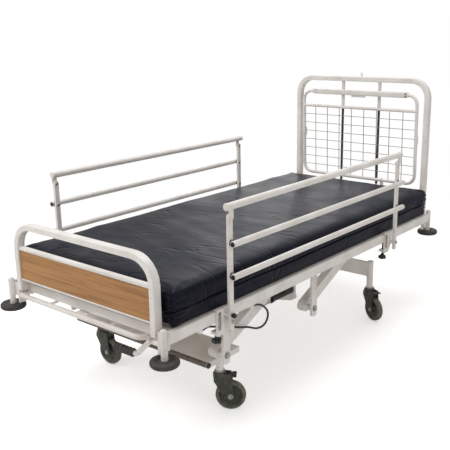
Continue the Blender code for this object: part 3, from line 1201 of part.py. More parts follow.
def placed_copy(piece, name, place):
    """Another object on the same mesh, put in place by a matrix."""
    copy = bpy.data.objects.new(name, piece.data)
    copy.matrix_world = place @ piece.matrix_basis
    BED.objects.link(copy)
    return copy


def build_base():
    plate_piece = painted(foot_plate(), ENAMEL)
    beam = painted(head_beam(), ENAMEL)
    right = base_rail()
    left = painted(mirrored(right, "base_rail_left"), ENAMEL)
    right = painted(ram_bracket(right), ENAMEL)
    barrel = painted(ram_cylinder(), RAM_BLACK)
    body("base", (0, 0, 0), plate_piece, beam, right, left, barrel)
    body("ram", (RAM_X, CRANK_PIN_Y, RAM_Z), painted(ram_rod(), STEEL))
    foot_arms = painted(lift_arms("foot_lift_arms", FOOT_SHAFT_Y, True), ENAMEL)
    head_arms = painted(lift_arms("head_lift_arms", HEAD_SHAFT_Y, False), ENAMEL)
    body("foot_lift", (0, FOOT_SHAFT_Y, SHAFT_Z), foot_arms)
    body("head_lift", (0, HEAD_SHAFT_Y, SHAFT_Z), head_arms)


def build_castors():
    fork = painted(castor_fork(), CASTOR_GREY)
    wheel = painted(castor_wheel(), TYRE_GREY)
    brake = painted(castor_brake(), BLACK_PLASTIC)
    for where, (side, y, trail) in CASTORS.items():
        place = Matrix.Translation((side * CASTOR_X, y, 0)) @ Matrix.Rotation(radians(trail), 4, "Z")
        axle = place @ Vector((WHEEL_TRAIL, 0, WHEEL_RADIUS))
        pivot = place @ Vector((BRAKE_PIVOT_X, 0, BRAKE_PIVOT_Z))
        swivel = (side * CASTOR_X, y, CASTOR_TOP_Z)
        body("castor_swivel_" + where, swivel, placed_copy(fork, "castor_fork_" + where, place))
        body("castor_spin_" + where, axle, placed_copy(wheel, "castor_wheel_" + where, place))
        body("castor_brake_" + where, pivot, placed_copy(brake, "castor_brake_" + where, place))
    for pattern in (fork, wheel, brake):
        bpy.data.objects.remove(pattern, do_unlink=True)


def build_bed_frame():
    right = side_rail()
    left = painted(mirrored(right, "side_rail_left"), ENAMEL)
    right = painted(cable_clips(right), ENAMEL)
    foot = painted(rack_eyes(end_rail("foot_end_rail", -1, FOOT_TUBE_FRONT_Y, FOOT_ARCH_HALF_WIDTH)), ENAMEL)
    head = painted(end_rail("head_end_rail", 1, HEAD_TUBE_REAR_Y, HEAD_ARCH_HALF_WIDTH), ENAMEL)
    fixed = [right, left, foot, head, painted(mattress_platform(), ENAMEL), painted(mattress(), COVER),
             painted(foot_arch(), ENAMEL), painted(foot_panel(), OAK), painted(head_arch(), ENAMEL),
             painted(control_cable(), BLACK_PLASTIC)]
    body("bed_frame", (0, FOOT_PIN_Y, ARM_PIN_Z), *fixed)
    disc = painted(bumper(), RUBBER)
    corners = (("foot_right", 1, -1), ("foot_left", -1, -1), ("head_right", 1, 1), ("head_left", -1, 1))
    for where, x, y in corners:
        centre = (x * CORNER_X, y * CORNER_Y, BUMPER_Z)
        body("bumper_" + where, centre, placed_copy(disc, "bumper_" + where, Matrix.Translation(centre)))
    bpy.data.objects.remove(disc, do_unlink=True)
    body("backrest", (0, BACKREST_Y, BACKREST_Z), painted(backrest_frame(), ENAMEL),
         painted(backrest_mesh(), ENAMEL), painted(backrest_grip(), ENAMEL))
    body("rack", (0, RACK_FRONT_Y, RACK_FRONT_Z), painted(linen_rack(), ENAMEL))
    body("lever", (LEVER_END_X, LEVER_Y, LEVER_Z), painted(pump_lever(), ENAMEL),
         painted(lever_grip(), RUBBER))


def build_safety_sides():
    foot_post = side_post("side_post_foot_right", SIDE_FOOT_Y, True)
    head_post = side_post("side_post_head_right", SIDE_HEAD_Y, False)
    low_bar = side_bar("side_bar_low_right", SIDE_LOW_Z, SIDE_LOW_HEAD_Y)
    mid_bar = side_bar("side_bar_mid_right", SIDE_MID_Z, SIDE_MID_HEAD_Y)
    top_bar = side_top_bar("side_bar_top_right")
    foot_clamp = rail_clamp("rail_clamp_foot_right", SIDE_FOOT_Y)
    head_clamp = rail_clamp("rail_clamp_head_right", SIDE_HEAD_Y)
    foot_knob = clamp_knob("clamp_knob_foot_right", SIDE_FOOT_Y)
    head_knob = clamp_knob("clamp_knob_head_right", SIDE_HEAD_Y)
    latch = pull_knob("pull_knob_right")
    right = {
        "side_post_foot": (painted(foot_post, ENAMEL), SIDE_FOOT_Y, SIDE_PIVOT_Z),
        "side_post_head": (painted(head_post, ENAMEL), SIDE_HEAD_Y, SIDE_PIVOT_Z),
        "side_bar_low": (painted(low_bar, ENAMEL), SIDE_FOOT_Y, SIDE_LOW_Z),
        "side_bar_mid": (painted(mid_bar, ENAMEL), SIDE_FOOT_Y, SIDE_MID_Z),
        "side_bar_top": (painted(top_bar, ENAMEL), SIDE_FOOT_Y, SIDE_LUG_PIVOT_Z),
        "rail_clamp_foot": (painted(foot_clamp, ENAMEL), SIDE_FOOT_Y, SIDE_PIVOT_Z),
        "rail_clamp_head": (painted(head_clamp, ENAMEL), SIDE_HEAD_Y, SIDE_PIVOT_Z),
        "clamp_knob_foot": (painted(foot_knob, BLACK_PLASTIC), SIDE_FOOT_Y - CLAMP_SCREW_OFFSET, RAIL_BOTTOM_Z),
        "clamp_knob_head": (painted(head_knob, BLACK_PLASTIC), SIDE_HEAD_Y - CLAMP_SCREW_OFFSET, RAIL_BOTTOM_Z),
        "pull_knob": (painted(latch, BLACK_PLASTIC), SIDE_FOOT_Y, PULL_Z),
    }
    for name, (piece, y, z) in right.items():
        x = RAIL_MID_X if name.startswith("clamp_knob") else SIDE_POST_X
        other = painted(mirrored(piece, name + "_left"), piece.data.materials[0])
        body(name + "_right", (x, y, z), piece)
        body(name + "_left", (-x, y, z), other)


build_base()
build_castors()
build_bed_frame()
build_safety_sides()
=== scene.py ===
"""Looks of the ward bed: enamelled tube, wood-grained foot panel, coated mattress, castors and fittings."""
import json
from math import cos, pi, radians, sin

import bmesh
import bpy
from mathutils import Matrix, Vector, noise


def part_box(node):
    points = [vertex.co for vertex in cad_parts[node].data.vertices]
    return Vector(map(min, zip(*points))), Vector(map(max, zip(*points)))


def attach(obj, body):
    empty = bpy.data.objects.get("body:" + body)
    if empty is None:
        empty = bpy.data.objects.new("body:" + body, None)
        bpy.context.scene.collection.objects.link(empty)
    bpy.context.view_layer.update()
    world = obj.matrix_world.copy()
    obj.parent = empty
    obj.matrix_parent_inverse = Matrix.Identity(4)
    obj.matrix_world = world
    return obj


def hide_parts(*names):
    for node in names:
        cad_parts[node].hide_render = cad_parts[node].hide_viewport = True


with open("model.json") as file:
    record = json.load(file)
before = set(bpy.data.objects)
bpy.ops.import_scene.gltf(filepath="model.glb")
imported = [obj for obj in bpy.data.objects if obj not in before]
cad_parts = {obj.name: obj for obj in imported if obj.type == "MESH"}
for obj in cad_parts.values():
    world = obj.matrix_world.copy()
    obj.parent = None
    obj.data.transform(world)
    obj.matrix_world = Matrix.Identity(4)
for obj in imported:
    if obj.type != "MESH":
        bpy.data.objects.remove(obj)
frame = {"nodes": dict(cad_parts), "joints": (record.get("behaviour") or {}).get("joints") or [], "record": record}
NODES = frame["nodes"]
JOINTS = {joint["name"]: joint for joint in frame["joints"]}
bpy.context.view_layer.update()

CORNERS = ("foot_right", "foot_left", "head_right", "head_left")
ENDS = ("foot", "head")
SIDES = {"right": 1, "left": -1}

# Photograph: camera place, heading and field of view, fitted on the bed's own edges
CAMERA_PLACE = Vector((2.1140, -2.6708, 1.5076))
CAMERA_AZIMUTH = radians(40.2564)
CAMERA_ELEVATION = radians(15.2435)
CAMERA_ROLL = radians(-1.0522)
FOCAL_PIXELS = 726.743
IMAGE_PIXELS = 450
SENSOR_MM = 36.0

# Studio: soft boxes with place, size and power, the sky by kind of ray, and a floor that whitens further out
SOFT_BOXES = {
    "key_box": ((-1.8, -3.0, 3.4), 2.2, 78),
    "fill_box": ((3.8, -1.4, 2.4), 2.2, 22),
    "top_box": ((0.0, 0.8, 4.2), 3.0, 66),
    "rim_box": ((-2.9, 4.0, 2.1), 2.2, 15),
}
LIGHT_AIM = Vector((0, 0, 0.5))
SKY_STRENGTH = {"diffuse": 0.36, "glossy": 0.62, "camera": 1.0}
FLOOR_HALF_SIZE = 14.0
FLOOR_DROP = 0.0005
GLOW_NEAR, GLOW_FAR = 1.3, 3.0
GLOW_UNDER, GLOW_AROUND = 0.48, 1.0

# Meshes: how close points are welded, and the angle from which a model piece's edge is sharp
PIECE_WELD = 0.00001
MODEL_WELD = 0.00002
MODEL_SHARP = radians(47)

# Mix node: its colour sockets by number, because their names repeat
MIX_FIRST, MIX_SECOND, MIX_RESULT = 6, 7, 2

# Moulded rubber and plastic: width of the mould's grain
MOULDED_GRAIN_MM = 1.5

# Mattress cover: the blank, how it fills out, and the foot corner that bulges past the arch's leg
COVER_VOXEL = 0.009
COVER_SLACK = Vector((-0.006, 0.010, 0.008))
COVER_CORNER = 0.014
COVER_TOP_EDGE = 0.016
COVER_BOTTOM_EDGE = 0.008
COVER_UPRIGHT_SHARE = 0.9
COVER_RIM_SHARE = 0.499
COVER_SWELL = 0.006
COVER_SIM_FRAMES = 16
COVER_PRESSURE = 3.5
COVER_EAR = 0.014
COVER_EAR_X = (0.412, 0.446)
COVER_EAR_REACH = 0.070
COVER_EAR_FADE = 1.5

# Mattress cover: where its flat underside, its sides and its top begin, and the dents beside the rail clamps
COVER_FLAT_RISE, COVER_FLAT_FADE = 0.004, 0.020
COVER_SIDE_TOP, COVER_SIDE_FADE, COVER_SIDE_DEPTH = 0.90, 0.15, 0.03
COVER_TOP_FROM, COVER_TOP_FADE = 0.8, 0.2
COVER_CLAMP_X = 0.4485
COVER_CLAMP_FADE = 0.012
COVER_CLAMP_TOP, COVER_CLAMP_RISE = 0.530, 0.029

# Mattress cover: the zip's flap with its wavy hem, over a fold
COVER_FLAP_RISE = 0.066
COVER_FLAP_STEP = 0.0018
COVER_FLAP_DEPTH = 0.0040
COVER_FOLD_ROWS = (-0.0075, -0.0040, 0.0)
COVER_FOLD_DEPTH = 0.0060
COVER_FLAP_WAVE = 0.0045
COVER_WAVE_REACH = 0.030
COVER_WAVE_CELLS, COVER_WAVE_START = 5, 2.7

# Mattress cover: pleats at the corners, billows, slanting creases and folds across, with cells to the metre
COVER_PLEAT_REACH = 0.085
COVER_PLEAT_PITCH = 0.023
COVER_PLEAT_DEPTH = 0.0042
COVER_PLEAT_FADE = 1.3
COVER_PLEAT_WANDER = 2.4
COVER_PLEAT_SLANT = 16
COVER_WANDER_CELLS = (8, 8, 16)
COVER_BILLOW_DEPTH = 0.0030
COVER_BILLOW_CELLS = (2.4, 3.4, 5)
COVER_BILLOW_LAYERS = (1.0, 2.0, 3)
COVER_CREASE_DEPTH = 0.0048
COVER_CREASE_CELLS = ((4.2, 2.6), (-0.8, 1.1))
COVER_CREASE_RISE, COVER_CREASE_START = 9, 3.1
COVER_CREASE_RIDGE, COVER_CREASE_SPAN = 0.70, 0.30
COVER_CREASE_LEAST, COVER_CREASE_REACH = 0.35, 1.0
COVER_CROSS_DEPTH = 0.0040
COVER_CROSS_CELLS = ((1.3, 0), (4, 11))
COVER_CROSS_START = 8.4

# Castor wheels: half sections of tyre and hub, the axle's washer and nut, and the stem's collar
TYRE_RADIUS = 0.0625
TYRE_HALF_WIDTH = 0.016
TYRE_WALL = 0.0135
TYRE_BEAD_STEP = 0.003
TYRE_BEAD_RIM = 0.0005
TYRE_SHOULDER = ((0.006, 0.001), (0.002, 0.005), (0.0, 0.011))
HUB_RADIUS = 0.0150
HUB_EDGE = 0.002
HUB_DISH = 0.008
HUB_RIM_FOOT, HUB_RIM_TOP = 0.010, 0.004
AXLE_HOLE = 0.0056
AXLE_NUT_REACHES = (0.0226, 0.0238, 0.0300)
AXLE_WASHER_RADIUS = 0.0115
NUT_RADIUS, NUT_EDGE = 0.0085, 0.0008
COLLAR_Z = 0.168
COLLAR_SECTION = [(0.0169, 0.0003), (0.0205, 0.0003), (0.0212, 0.0014), (0.0205, 0.0052), (0.0169, 0.0060)]

# Bumper disc: its section, from the hub's top over the dish and the rim to the underside
BUMPER_SECTION = [
    (0.0066, 0.0085), (0.0150, 0.0085), (0.0180, 0.0072), (0.0205, 0.0052), (0.0280, 0.0056),
    (0.0330, 0.0095), (0.0385, 0.0121), (0.0435, 0.0126), (0.0495, 0.0104), (0.0533, 0.0060),
    (0.0545, 0.0), (0.0533, -0.0065), (0.0495, -0.0110), (0.0430, -0.0128), (0.0300, -0.0120),
    (0.0200, -0.0085), (0.0066, -0.0085),
]

# Backrest: frame and mesh wires, as in the model, and the grip's clips, their screws and the hooks
BACKREST_LEAN = radians(1.7)
BACKREST_HALF_WIDTH = 0.364
BACKREST_TUBE = 0.0095
BACKREST_BAR_RISE = 0.403
BACKREST_BAR = 0.008
BACKREST_TOP_RISE = 0.489
MESH_UPRIGHTS = 8
MESH_CROSSWIRES = 7
WIRE_RADIUS = {"upright": 0.0020, "cross": 0.0017}
WIRE_GAP = 0.0003
WIRE_STEP = 0.0008
CLIP_REACHES = (0.0008, 0.0150)
CLIP_HALF_HEIGHT, CLIP_HALF_DEPTH, CLIP_EDGE = 0.0140, 0.0125, 0.002
SCREW_RISE = 0.0075
SCREW_FOOT_Y, SCREW_TIP_Y = -0.0120, -0.0155
SCREW_RADIUS, SCREW_EDGE = 0.0042, 0.0012
HOOK_ROOT = BACKREST_TUBE * 0.6
HOOK_PATH = [
    (HOOK_ROOT, 0.215), (0.0150, 0.217), (0.0205, 0.224), (0.0225, 0.236),
    (0.0225, 0.250), (0.0205, 0.261), (0.0150, 0.268), (HOOK_ROOT, 0.270),
]
HOOK_STEPS = 3
HOOK_WIRE = 0.0030

# Pump lever's grip: a sleeve with rounded ribs and a closed end
GRIP_BORE = 0.0107
GRIP_RADIUS = 0.0140
GRIP_RIBS = 6
GRIP_RIB_STEPS = 6
GRIP_RIB_HEIGHT = 0.0030
GRIP_RIB_ROUND = 0.6
GRIP_RIB_GAP = 0.08
GRIP_END = [(0.0120, 0.001), (0.0090, 0.0), (0.0002, 0.0), (0.0002, 0.005), (GRIP_BORE, 0.005)]

# Safety sides: posts, bars and their rivets, plugs, caps and bushes
POST_INNER_X = 0.494
POST_OUTER_X = 0.506
TOP_BAR_X, TOP_BAR_Z = 0.500, 0.890
BAR_X = 0.524
PIN_HEIGHTS = {"pivot": 0.450, "low": 0.630, "mid": 0.755, "lug": 0.851}
RIVET_HEIGHT, RIVET_RADIUS, RIVET_EDGE = 0.0045, 0.0075, 0.002
PLUG_RADIUS = 0.0095
TOP_CAP_RADIUS = 0.0142
CAP_INSIDE, CAP_OUTSIDE, CAP_EDGE = 0.004, 0.003, 0.0025
BUSH_GAP = 0.0008
BUSH_SECTION = [(0.0101, 0.0), (0.0118, 0.0), (0.0124, 0.0008), (0.0124, 0.0036), (0.0101, 0.0042)]

# Rail clamps: zinc strap, its rivets and the pivot's nut; reaches run outward from the clamp and the post
CLAMP_FACE_X = 0.4733
STRAP_REACHES = (0.0001, 0.0026)
STRAP_Y = (-0.042, -0.027)
STRAP_Z = (0.418, 0.489)
STRAP_EDGE = 0.0008
STRAP_RIVET_REACHES = (0.0020, 0.0060)
STRAP_RIVET_Y = -0.0345
STRAP_RIVET_Z = (0.430, 0.477)
STRAP_RIVET_RADIUS, STRAP_RIVET_EDGE = 0.0046, 0.0015
PIVOT_NUT_REACHES = (0.0032, 0.0082)

# Lift: bolts of the arms through the drop posts
ARM_BOLT_Y = (-0.722, -0.1155)
ARM_BOLT_Z = 0.294
ARM_BOLT_X = (0.4622, 0.4640, 0.4705)
ARM_WASHER_RADIUS, ARM_WASHER_EDGE = 0.0150, 0.0005
ARM_BOLT_RADIUS, ARM_BOLT_EDGE = 0.0105, 0.0010

# Head uprights: plastic sleeves with a bead at each end
SLEEVE_X, SLEEVE_Y = 0.117, 1.0525
SLEEVE_SECTION = [
    (0.0065, 0.616), (0.0072, 0.616), (0.0075, 0.618), (0.0075, 0.624), (0.0069, 0.626),
    (0.0069, 1.026), (0.0075, 1.028), (0.0075, 1.032), (0.0072, 1.034), (0.0065, 1.034),
]

# Foot plate: its rolled front edge, with end caps, and a darker skin over the roll's front that is painted shade
ROLL_Y, ROLL_Z = -0.750, 0.239
ROLL_CAP_INSIDE, ROLL_CAP_OUTSIDE = 0.003, 0.0035
ROLL_CAP_RADIUS, ROLL_CAP_EDGE = 0.0116, 0.002
ROLL_SHADE_INSET = 0.004
ROLL_SHADE_Y = ROLL_Y - 0.0003
ROLL_SHADE_RADIUS, ROLL_SHADE_EDGE = 0.0114, 0.001

# Control cable: its route is the model's, with every bend eased to four diameters or more
CABLE_RADIUS = 0.0042
CABLE_X = 0.450
CABLE_Z = 0.4375
CABLE_END_GAP = 0.0006
CABLE_LEAD = 0.012
CABLE_HEAD_Y = -0.545
CABLE_FOOT_Y = -0.850
CABLE_ROUTE = [
    (0.4500, -0.5153, 0.4342),
    (0.4500, -0.4802, 0.4189),
    (0.4500, -0.4483, 0.3869),
    (0.4490, -0.4459, 0.3537),
    (0.4470, -0.4689, 0.3299),
    (0.4440, -0.5108, 0.3290),
    (0.4400, -0.5639, 0.3510),
    (0.4340, -0.6150, 0.3660),
    (0.4270, -0.6680, 0.3840),
    (0.4245, -0.7220, 0.4030),
    (0.4316, -0.7716, 0.4213),
    (0.4460, -0.8087, 0.4372),
]
CABLE_STEPS = 3


def linear(colour):
    """An sRGB hex colour as linear RGBA."""
    channels = [int(colour[start:start + 2], 16) / 255 for start in (1, 3, 5)]
    return (*[c / 12.92 if c <= 0.04045 else ((c + 0.055) / 1.055) ** 2.4 for c in channels], 1.0)


def add_node(material, kind, sockets=None, **settings):
    """Add a node to a material, with its settings, and its sockets set to values or linked to outputs."""
    node = material.node_tree.nodes.new(kind)
    for name, value in settings.items():
        setattr(node, name, value)
    for name, value in (sockets or {}).items():
        if isinstance(value, bpy.types.NodeSocket):
            material.node_tree.links.new(value, node.inputs[name])
        else:
            node.inputs[name].default_value = value
    return node


def new_material(name, **sockets):
    """A material with a Principled shader whose sockets hold these values."""
    material = bpy.data.materials.new(name)
    material.use_nodes = True
    shader = material.node_tree.nodes["Principled BSDF"]
    for socket, value in sockets.items():
        shader.inputs[socket.replace("_", " ")].default_value = value
    return material, shader


def link(material, output, shader, socket):
    material.node_tree.links.new(output, shader.inputs[socket])


def object_coordinates(material, scale=(1, 1, 1), turn=(0, 0, 0)):
    """The piece's own coordinates in metres, stretched and turned for a pattern."""
    place = add_node(material, "ShaderNodeTexCoord").outputs["Object"]
    mapping = add_node(material, "ShaderNodeMapping", {"Vector": place, "Scale": scale, "Rotation": turn})
    return mapping.outputs["Vector"]


def speckle(material, place, scale, detail=3.0, roughness=0.5):
    """A noise value over the piece; scale is in cells to the unit of place."""
    sockets = {"Vector": place, "Scale": scale, "Detail": detail, "Roughness": roughness}
    return add_node(material, "ShaderNodeTexNoise", sockets).outputs["Fac"]


def two_tone(material, factor, first, second):
    """A colour that runs from first to second by factor; each is a hex colour or another colour output."""
    mix = add_node(material, "ShaderNodeMix", {"Factor": factor}, data_type="RGBA")
    for socket, colour in ((MIX_FIRST, first), (MIX_SECOND, second)):
        if isinstance(colour, bpy.types.NodeSocket):
            material.node_tree.links.new(colour, mix.inputs[socket])
        else:
            mix.inputs[socket].default_value = linear(colour)
    return mix.outputs[MIX_RESULT]


def between(material, value, low, high, to_low=0.0, to_high=1.0):
    """A value brought from one span to another and kept inside it."""
    spans = {"Value": value, "From Min": low, "From Max": high, "To Min": to_low, "To Max": to_high}
    return add_node(material, "ShaderNodeMapRange", spans).outputs["Result"]


def bump(material, shader, height, strength, distance, under=None):
    """Let a height value stand out of the surface, over another bump if there is one."""
    sockets = {"Height": height, "Strength": strength, "Distance": distance}
    if under:
        sockets["Normal"] = under
    normal = add_node(material, "ShaderNodeBump", sockets).outputs["Normal"]
    link(material, normal, shader, "Normal")
    return normal


def enamel(name, light, shade):
    """Baked enamel on steel: semi-gloss, a little yellowed in patches, with scuffs and a few chips."""
    material, shader = new_material(name, IOR=1.5)
    place = object_coordinates(material)
    # Yellowed patches are about 110 mm wide, scuffs about 17 by 45 mm
    patches = speckle(material, place, 9.0)
    tone = two_tone(material, between(material, patches, 0.35, 0.70), light, shade)
    scuffs = speckle(material, object_coordinates(material, (60, 22, 60)), 1.0, 5.0)
    worn = between(material, scuffs, 0.64, 0.74, 0.0, 0.40)
    scuffed = two_tone(material, worn, tone, "#A2968A")
    # Chips down to the primer are 2 to 5 mm wide and few
    chips = between(material, speckle(material, place, 130.0, 2.0), 0.735, 0.755, 0.0, 0.75)
    link(material, two_tone(material, chips, scuffed, "#6E655A"), shader, "Base Color")
    link(material, between(material, patches, 0.3, 0.7, 0.32, 0.44), shader, "Roughness")
    # The coat's orange peel is about 1 mm; it is drawn at 4 mm so that it shows
    bump(material, shader, speckle(material, place, 250.0, 1.0), 0.05, 0.001)
    return material


def oak_laminate():
    """Wood-grained laminate: long streaks along the board, a satin printed face with shallow pores."""
    material, shader = new_material("oak_laminate", IOR=1.5, Roughness=0.42)
    # Streaks are about 11 mm high and 330 mm long, broad bands 38 by 700 mm
    wander = add_node(material, "ShaderNodeTexNoise",
                      {"Vector": object_coordinates(material, (2.2, 1, 9)), "Scale": 1.0, "Detail": 2.0})
    stretched = object_coordinates(material, (3.0, 40, 90))
    shifted = add_node(material, "ShaderNodeVectorMath", {0: stretched, 1: wander.outputs["Color"]},
                       operation="ADD")
    streaks = speckle(material, shifted.outputs["Vector"], 1.0, 6.0, 0.65)
    bands = speckle(material, object_coordinates(material, (1.4, 10, 26)), 1.0, 2.0)
    ramp = add_node(material, "ShaderNodeValToRGB", {"Fac": streaks})
    first, last = ramp.color_ramp.elements
    first.position, first.color = 0.30, linear("#8B5D30")
    last.position, last.color = 0.70, linear("#C8965A")
    middle = ramp.color_ramp.elements.new(0.48)
    middle.color = linear("#B37E46")
    dark = between(material, bands, 0.35, 0.70, 0.0, 0.45)
    grain = two_tone(material, dark, ramp.outputs["Color"], "#9C6936")
    # Pores are dark dashes about 1 mm high and 12 mm long
    dashes = speckle(material, object_coordinates(material, (80, 80, 900)), 1.0, 2.0)
    pores = between(material, dashes, 0.62, 0.72, 0.0, 0.35)
    link(material, two_tone(material, pores, grain, "#5F3F20"), shader, "Base Color")
    bump(material, shader, streaks, 0.08, 0.001)
    return material


def coated_nylon():
    """Polyurethane-coated nylon cover: near-black navy, fine weave under the coat and soft creases."""
    material, shader = new_material("coated_nylon", IOR=1.46, Sheen_Weight=0.01, Sheen_Roughness=0.5,
                                    Specular_IOR_Level=0.15)
    place = object_coordinates(material)
    broad = speckle(material, place, 5.0, 4.0)
    tone = two_tone(material, between(material, broad, 0.35, 0.7), "#070A17", "#0B0F20")
    link(material, tone, shader, "Base Color")
    link(material, between(material, broad, 0.3, 0.7, 0.33, 0.44), shader, "Roughness")
    # Threads are about 0.3 mm apart; the weave is drawn at 3 mm so that it shows
    threads = [add_node(material, "ShaderNodeTexWave", {"Vector": place, "Scale": 105.0},
                        wave_type="BANDS", bands_direction=way).outputs["Fac"] for way in ("X", "Y")]
    weave = add_node(material, "ShaderNodeMath", {0: threads[0], 1: threads[1]}, operation="MULTIPLY")
    fine = bump(material, shader, weave.outputs["Value"], 0.05, 0.001)
    # Billows are 110 to 400 mm wide
    billows = speckle(material, object_coordinates(material, (2.5, 7, 9), (0, 0, 0.35)), 1.0, 2.0, 0.5)
    broad_bump = bump(material, shader, billows, 0.26, 0.018, fine)
    # Sharp creases run across the mattress, 4 to 8 mm wide, in patches where the cover is slack
    lines = speckle(material, object_coordinates(material, (2.6, 10, 5), (0, 0, 0.20)), 1.0, 2.0, 0.45)
    offset = add_node(material, "ShaderNodeMath", {0: lines, 1: 0.5}, operation="SUBTRACT").outputs["Value"]
    apart = add_node(material, "ShaderNodeMath", {0: offset}, operation="ABSOLUTE").outputs["Value"]
    groove = between(material, apart, 0.0, 0.030)
    slack = speckle(material, object_coordinates(material, (6, 6, 6), (0, 0, 0.9)), 1.0, 2.0)
    taut = between(material, slack, 0.46, 0.62, 1.0, 0.0)
    crease = add_node(material, "ShaderNodeMath", {0: groove, 1: taut}, operation="MAXIMUM").outputs["Value"]
    bump(material, shader, crease, 0.36, 0.005, broad_bump)
    return material


def moulded(name, colour, worn, roughness, **sockets):
    """Moulded rubber or plastic: one colour, greyer where handled or dusty, with a fine moulded grain."""
    material, shader = new_material(name, **sockets)
    place = object_coordinates(material)
    # Dust lies in patches of about 18 mm
    dust = speckle(material, place, 55.0, 5.0, 0.6)
    tone = two_tone(material, between(material, dust, 0.45, 0.75), colour, worn)
    link(material, tone, shader, "Base Color")
    link(material, between(material, dust, 0.3, 0.7, roughness - 0.06, roughness + 0.08), shader, "Roughness")
    bump(material, shader, speckle(material, place, 1000.0 / MOULDED_GRAIN_MM, 2.0), 0.12, 0.0006)
    return material


def plated_steel(name, colour, tarnish, roughness):
    """Zinc-plated or ground steel: grey metal with fine drawn lines and duller patches."""
    material, shader = new_material(name, Metallic=1.0)
    # Drawn lines are about 1 mm wide and 17 mm long, dull patches about 8 mm
    lines = speckle(material, object_coordinates(material, (900, 60, 900)), 1.0, 2.0)
    patches = speckle(material, object_coordinates(material), 120.0)
    tone = two_tone(material, between(material, patches, 0.4, 0.7), colour, tarnish)
    link(material, tone, shader, "Base Color")
    gloss = between(material, lines, 0.3, 0.7, roughness - 0.06, roughness + 0.10)
    link(material, gloss, shader, "Roughness")
    return material


FINISH = {
    "cream_enamel": enamel("cream_enamel", "#F3EFEA", "#E6DED7"),
    "oak_laminate": oak_laminate(),
    "coated_nylon": coated_nylon(),
    "black_rubber": moulded("black_rubber", "#2F2C2A", "#524D4A", 0.58, IOR=1.52),
    "olive_castor_plastic": moulded("olive_castor_plastic", "#3B3C33", "#55554A", 0.42, IOR=1.5),
    "grey_tyre": moulded("grey_tyre", "#656154", "#868070", 0.65, IOR=1.52),
    "black_plastic": moulded("black_plastic", "#141414", "#262626", 0.42, IOR=1.5),
    "black_ram_paint": moulded("black_ram_paint", "#101012", "#1E1E20", 0.30, IOR=1.5),
    "bright_steel": plated_steel("bright_steel", "#B9B9B4", "#96958E", 0.26),
}
ZINC = plated_steel("zinc_plated_steel", "#B9B8B4", "#98958E", 0.34)
SLEEVE_PLASTIC = moulded("grey_sleeve_plastic", "#2B2C2E", "#46474A", 0.45, IOR=1.5)
# A darker taupe skin over the foot plate's roll: painted shade of the roll under the bed
ROLL_SHADE_PAINT = moulded("roll_painted_shade", "#675E54", "#7F766A", 0.50, IOR=1.5)
# The backrest wires' enamel: the cream enamel painted darker, as painted shade on the thin wires
SHADED_WIRE_ENAMEL = enamel("shaded_wire_enamel", "#A39E98", "#8F8A84")


def add_object(name, shape):
    """Turn a bmesh into an object of the scene."""
    mesh = bpy.data.meshes.new(name)
    shape.to_mesh(mesh)
    shape.free()
    made = bpy.data.objects.new(name, mesh)
    bpy.context.scene.collection.objects.link(made)
    return made


def add_piece(name, shape, finish, body, sharp=40, merge=True):
    """Make a bmesh a finished piece that rides on a body, with the finish it is given."""
    if merge:
        bmesh.ops.remove_doubles(shape, verts=shape.verts, dist=PIECE_WELD)
        bmesh.ops.recalc_face_normals(shape, faces=shape.faces)
    piece = add_object(name, shape)
    piece.data.materials.append(finish)
    piece.data.shade_smooth()
    piece.data.set_sharp_from_angle(angle=radians(sharp))
    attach(piece, body)
    return piece


def add_rod(shape, start, end, radius, sides, edge=0.0):
    """Add a round or six-sided bar between two points, its ends rounded by edge."""
    start, end = Vector(start), Vector(end)
    place = along((start + end) / 2, end - start)
    bar = bmesh.ops.create_cone(shape, cap_ends=True, segments=sides, radius1=radius, radius2=radius,
                                depth=(end - start).length, matrix=place)
    if edge:
        faces = dict.fromkeys(face for vert in bar["verts"] for face in vert.link_faces)
        rims = [rim for face in faces if len(face.verts) == sides for rim in face.edges]
        bmesh.ops.bevel(shape, geom=rims, offset=edge, segments=3, profile=0.5, affect="EDGES", material=-1)


def add_bent_rod(shape, path, radius, sides=12):
    """Add a round bar that follows a path, with closed ends."""
    path = [Vector(point) for point in path]
    rings = []
    for index, point in enumerate(path):
        before, after = path[max(index - 1, 0)], path[min(index + 1, len(path) - 1)]
        turn = (after - before).to_track_quat("Z", "X").to_matrix()
        ring = []
        for step in range(sides):
            angle = 2 * pi * step / sides
            ring.append(shape.verts.new(point + turn @ Vector((radius * cos(angle), radius * sin(angle), 0))))
        rings.append(ring)
    for ring, following in zip(rings, rings[1:]):
        for step in range(sides):
            after = (step + 1) % sides
            shape.faces.new((ring[step], ring[after], following[after], following[step]))
    shape.faces.new(rings[0][::-1])
    shape.faces.new(rings[-1])


def add_block(shape, low, high, edge):
    """Add a block between two corners with rounded edges."""
    low, high = Vector(low), Vector(high)
    block = bmesh.ops.create_cube(shape, size=1.0)
    bmesh.ops.scale(shape, vec=high - low, verts=block["verts"])
    bmesh.ops.translate(shape, vec=(low + high) / 2, verts=block["verts"])
    edges = list(dict.fromkeys(rim for vert in block["verts"] for rim in vert.link_edges))
    bmesh.ops.bevel(shape, geom=edges, offset=edge, segments=2, profile=0.5, affect="EDGES", material=-1)


def add_spin(shape, profile, place, steps):
    """Spin a closed profile of (radius, height) about the local Z axis of a placing matrix."""
    before = set(shape.verts)
    verts = [shape.verts.new((radius, 0.0, height)) for radius, height in profile]
    edges = [shape.edges.new(pair) for pair in zip(verts, [*verts[1:], verts[0]])]
    bmesh.ops.spin(shape, geom=verts + edges, cent=(0, 0, 0), axis=(0, 0, 1), angle=2 * pi, steps=steps,
                   use_merge=True, use_duplicate=False)
    made = [vert for vert in shape.verts if vert not in before]
    bmesh.ops.transform(shape, matrix=place, verts=made)


def along(place, axis):
    """A placing matrix whose Z axis runs along axis at a place."""
    return Matrix.Translation(place) @ Vector(axis).to_track_quat("Z", "Y").to_matrix().to_4x4()


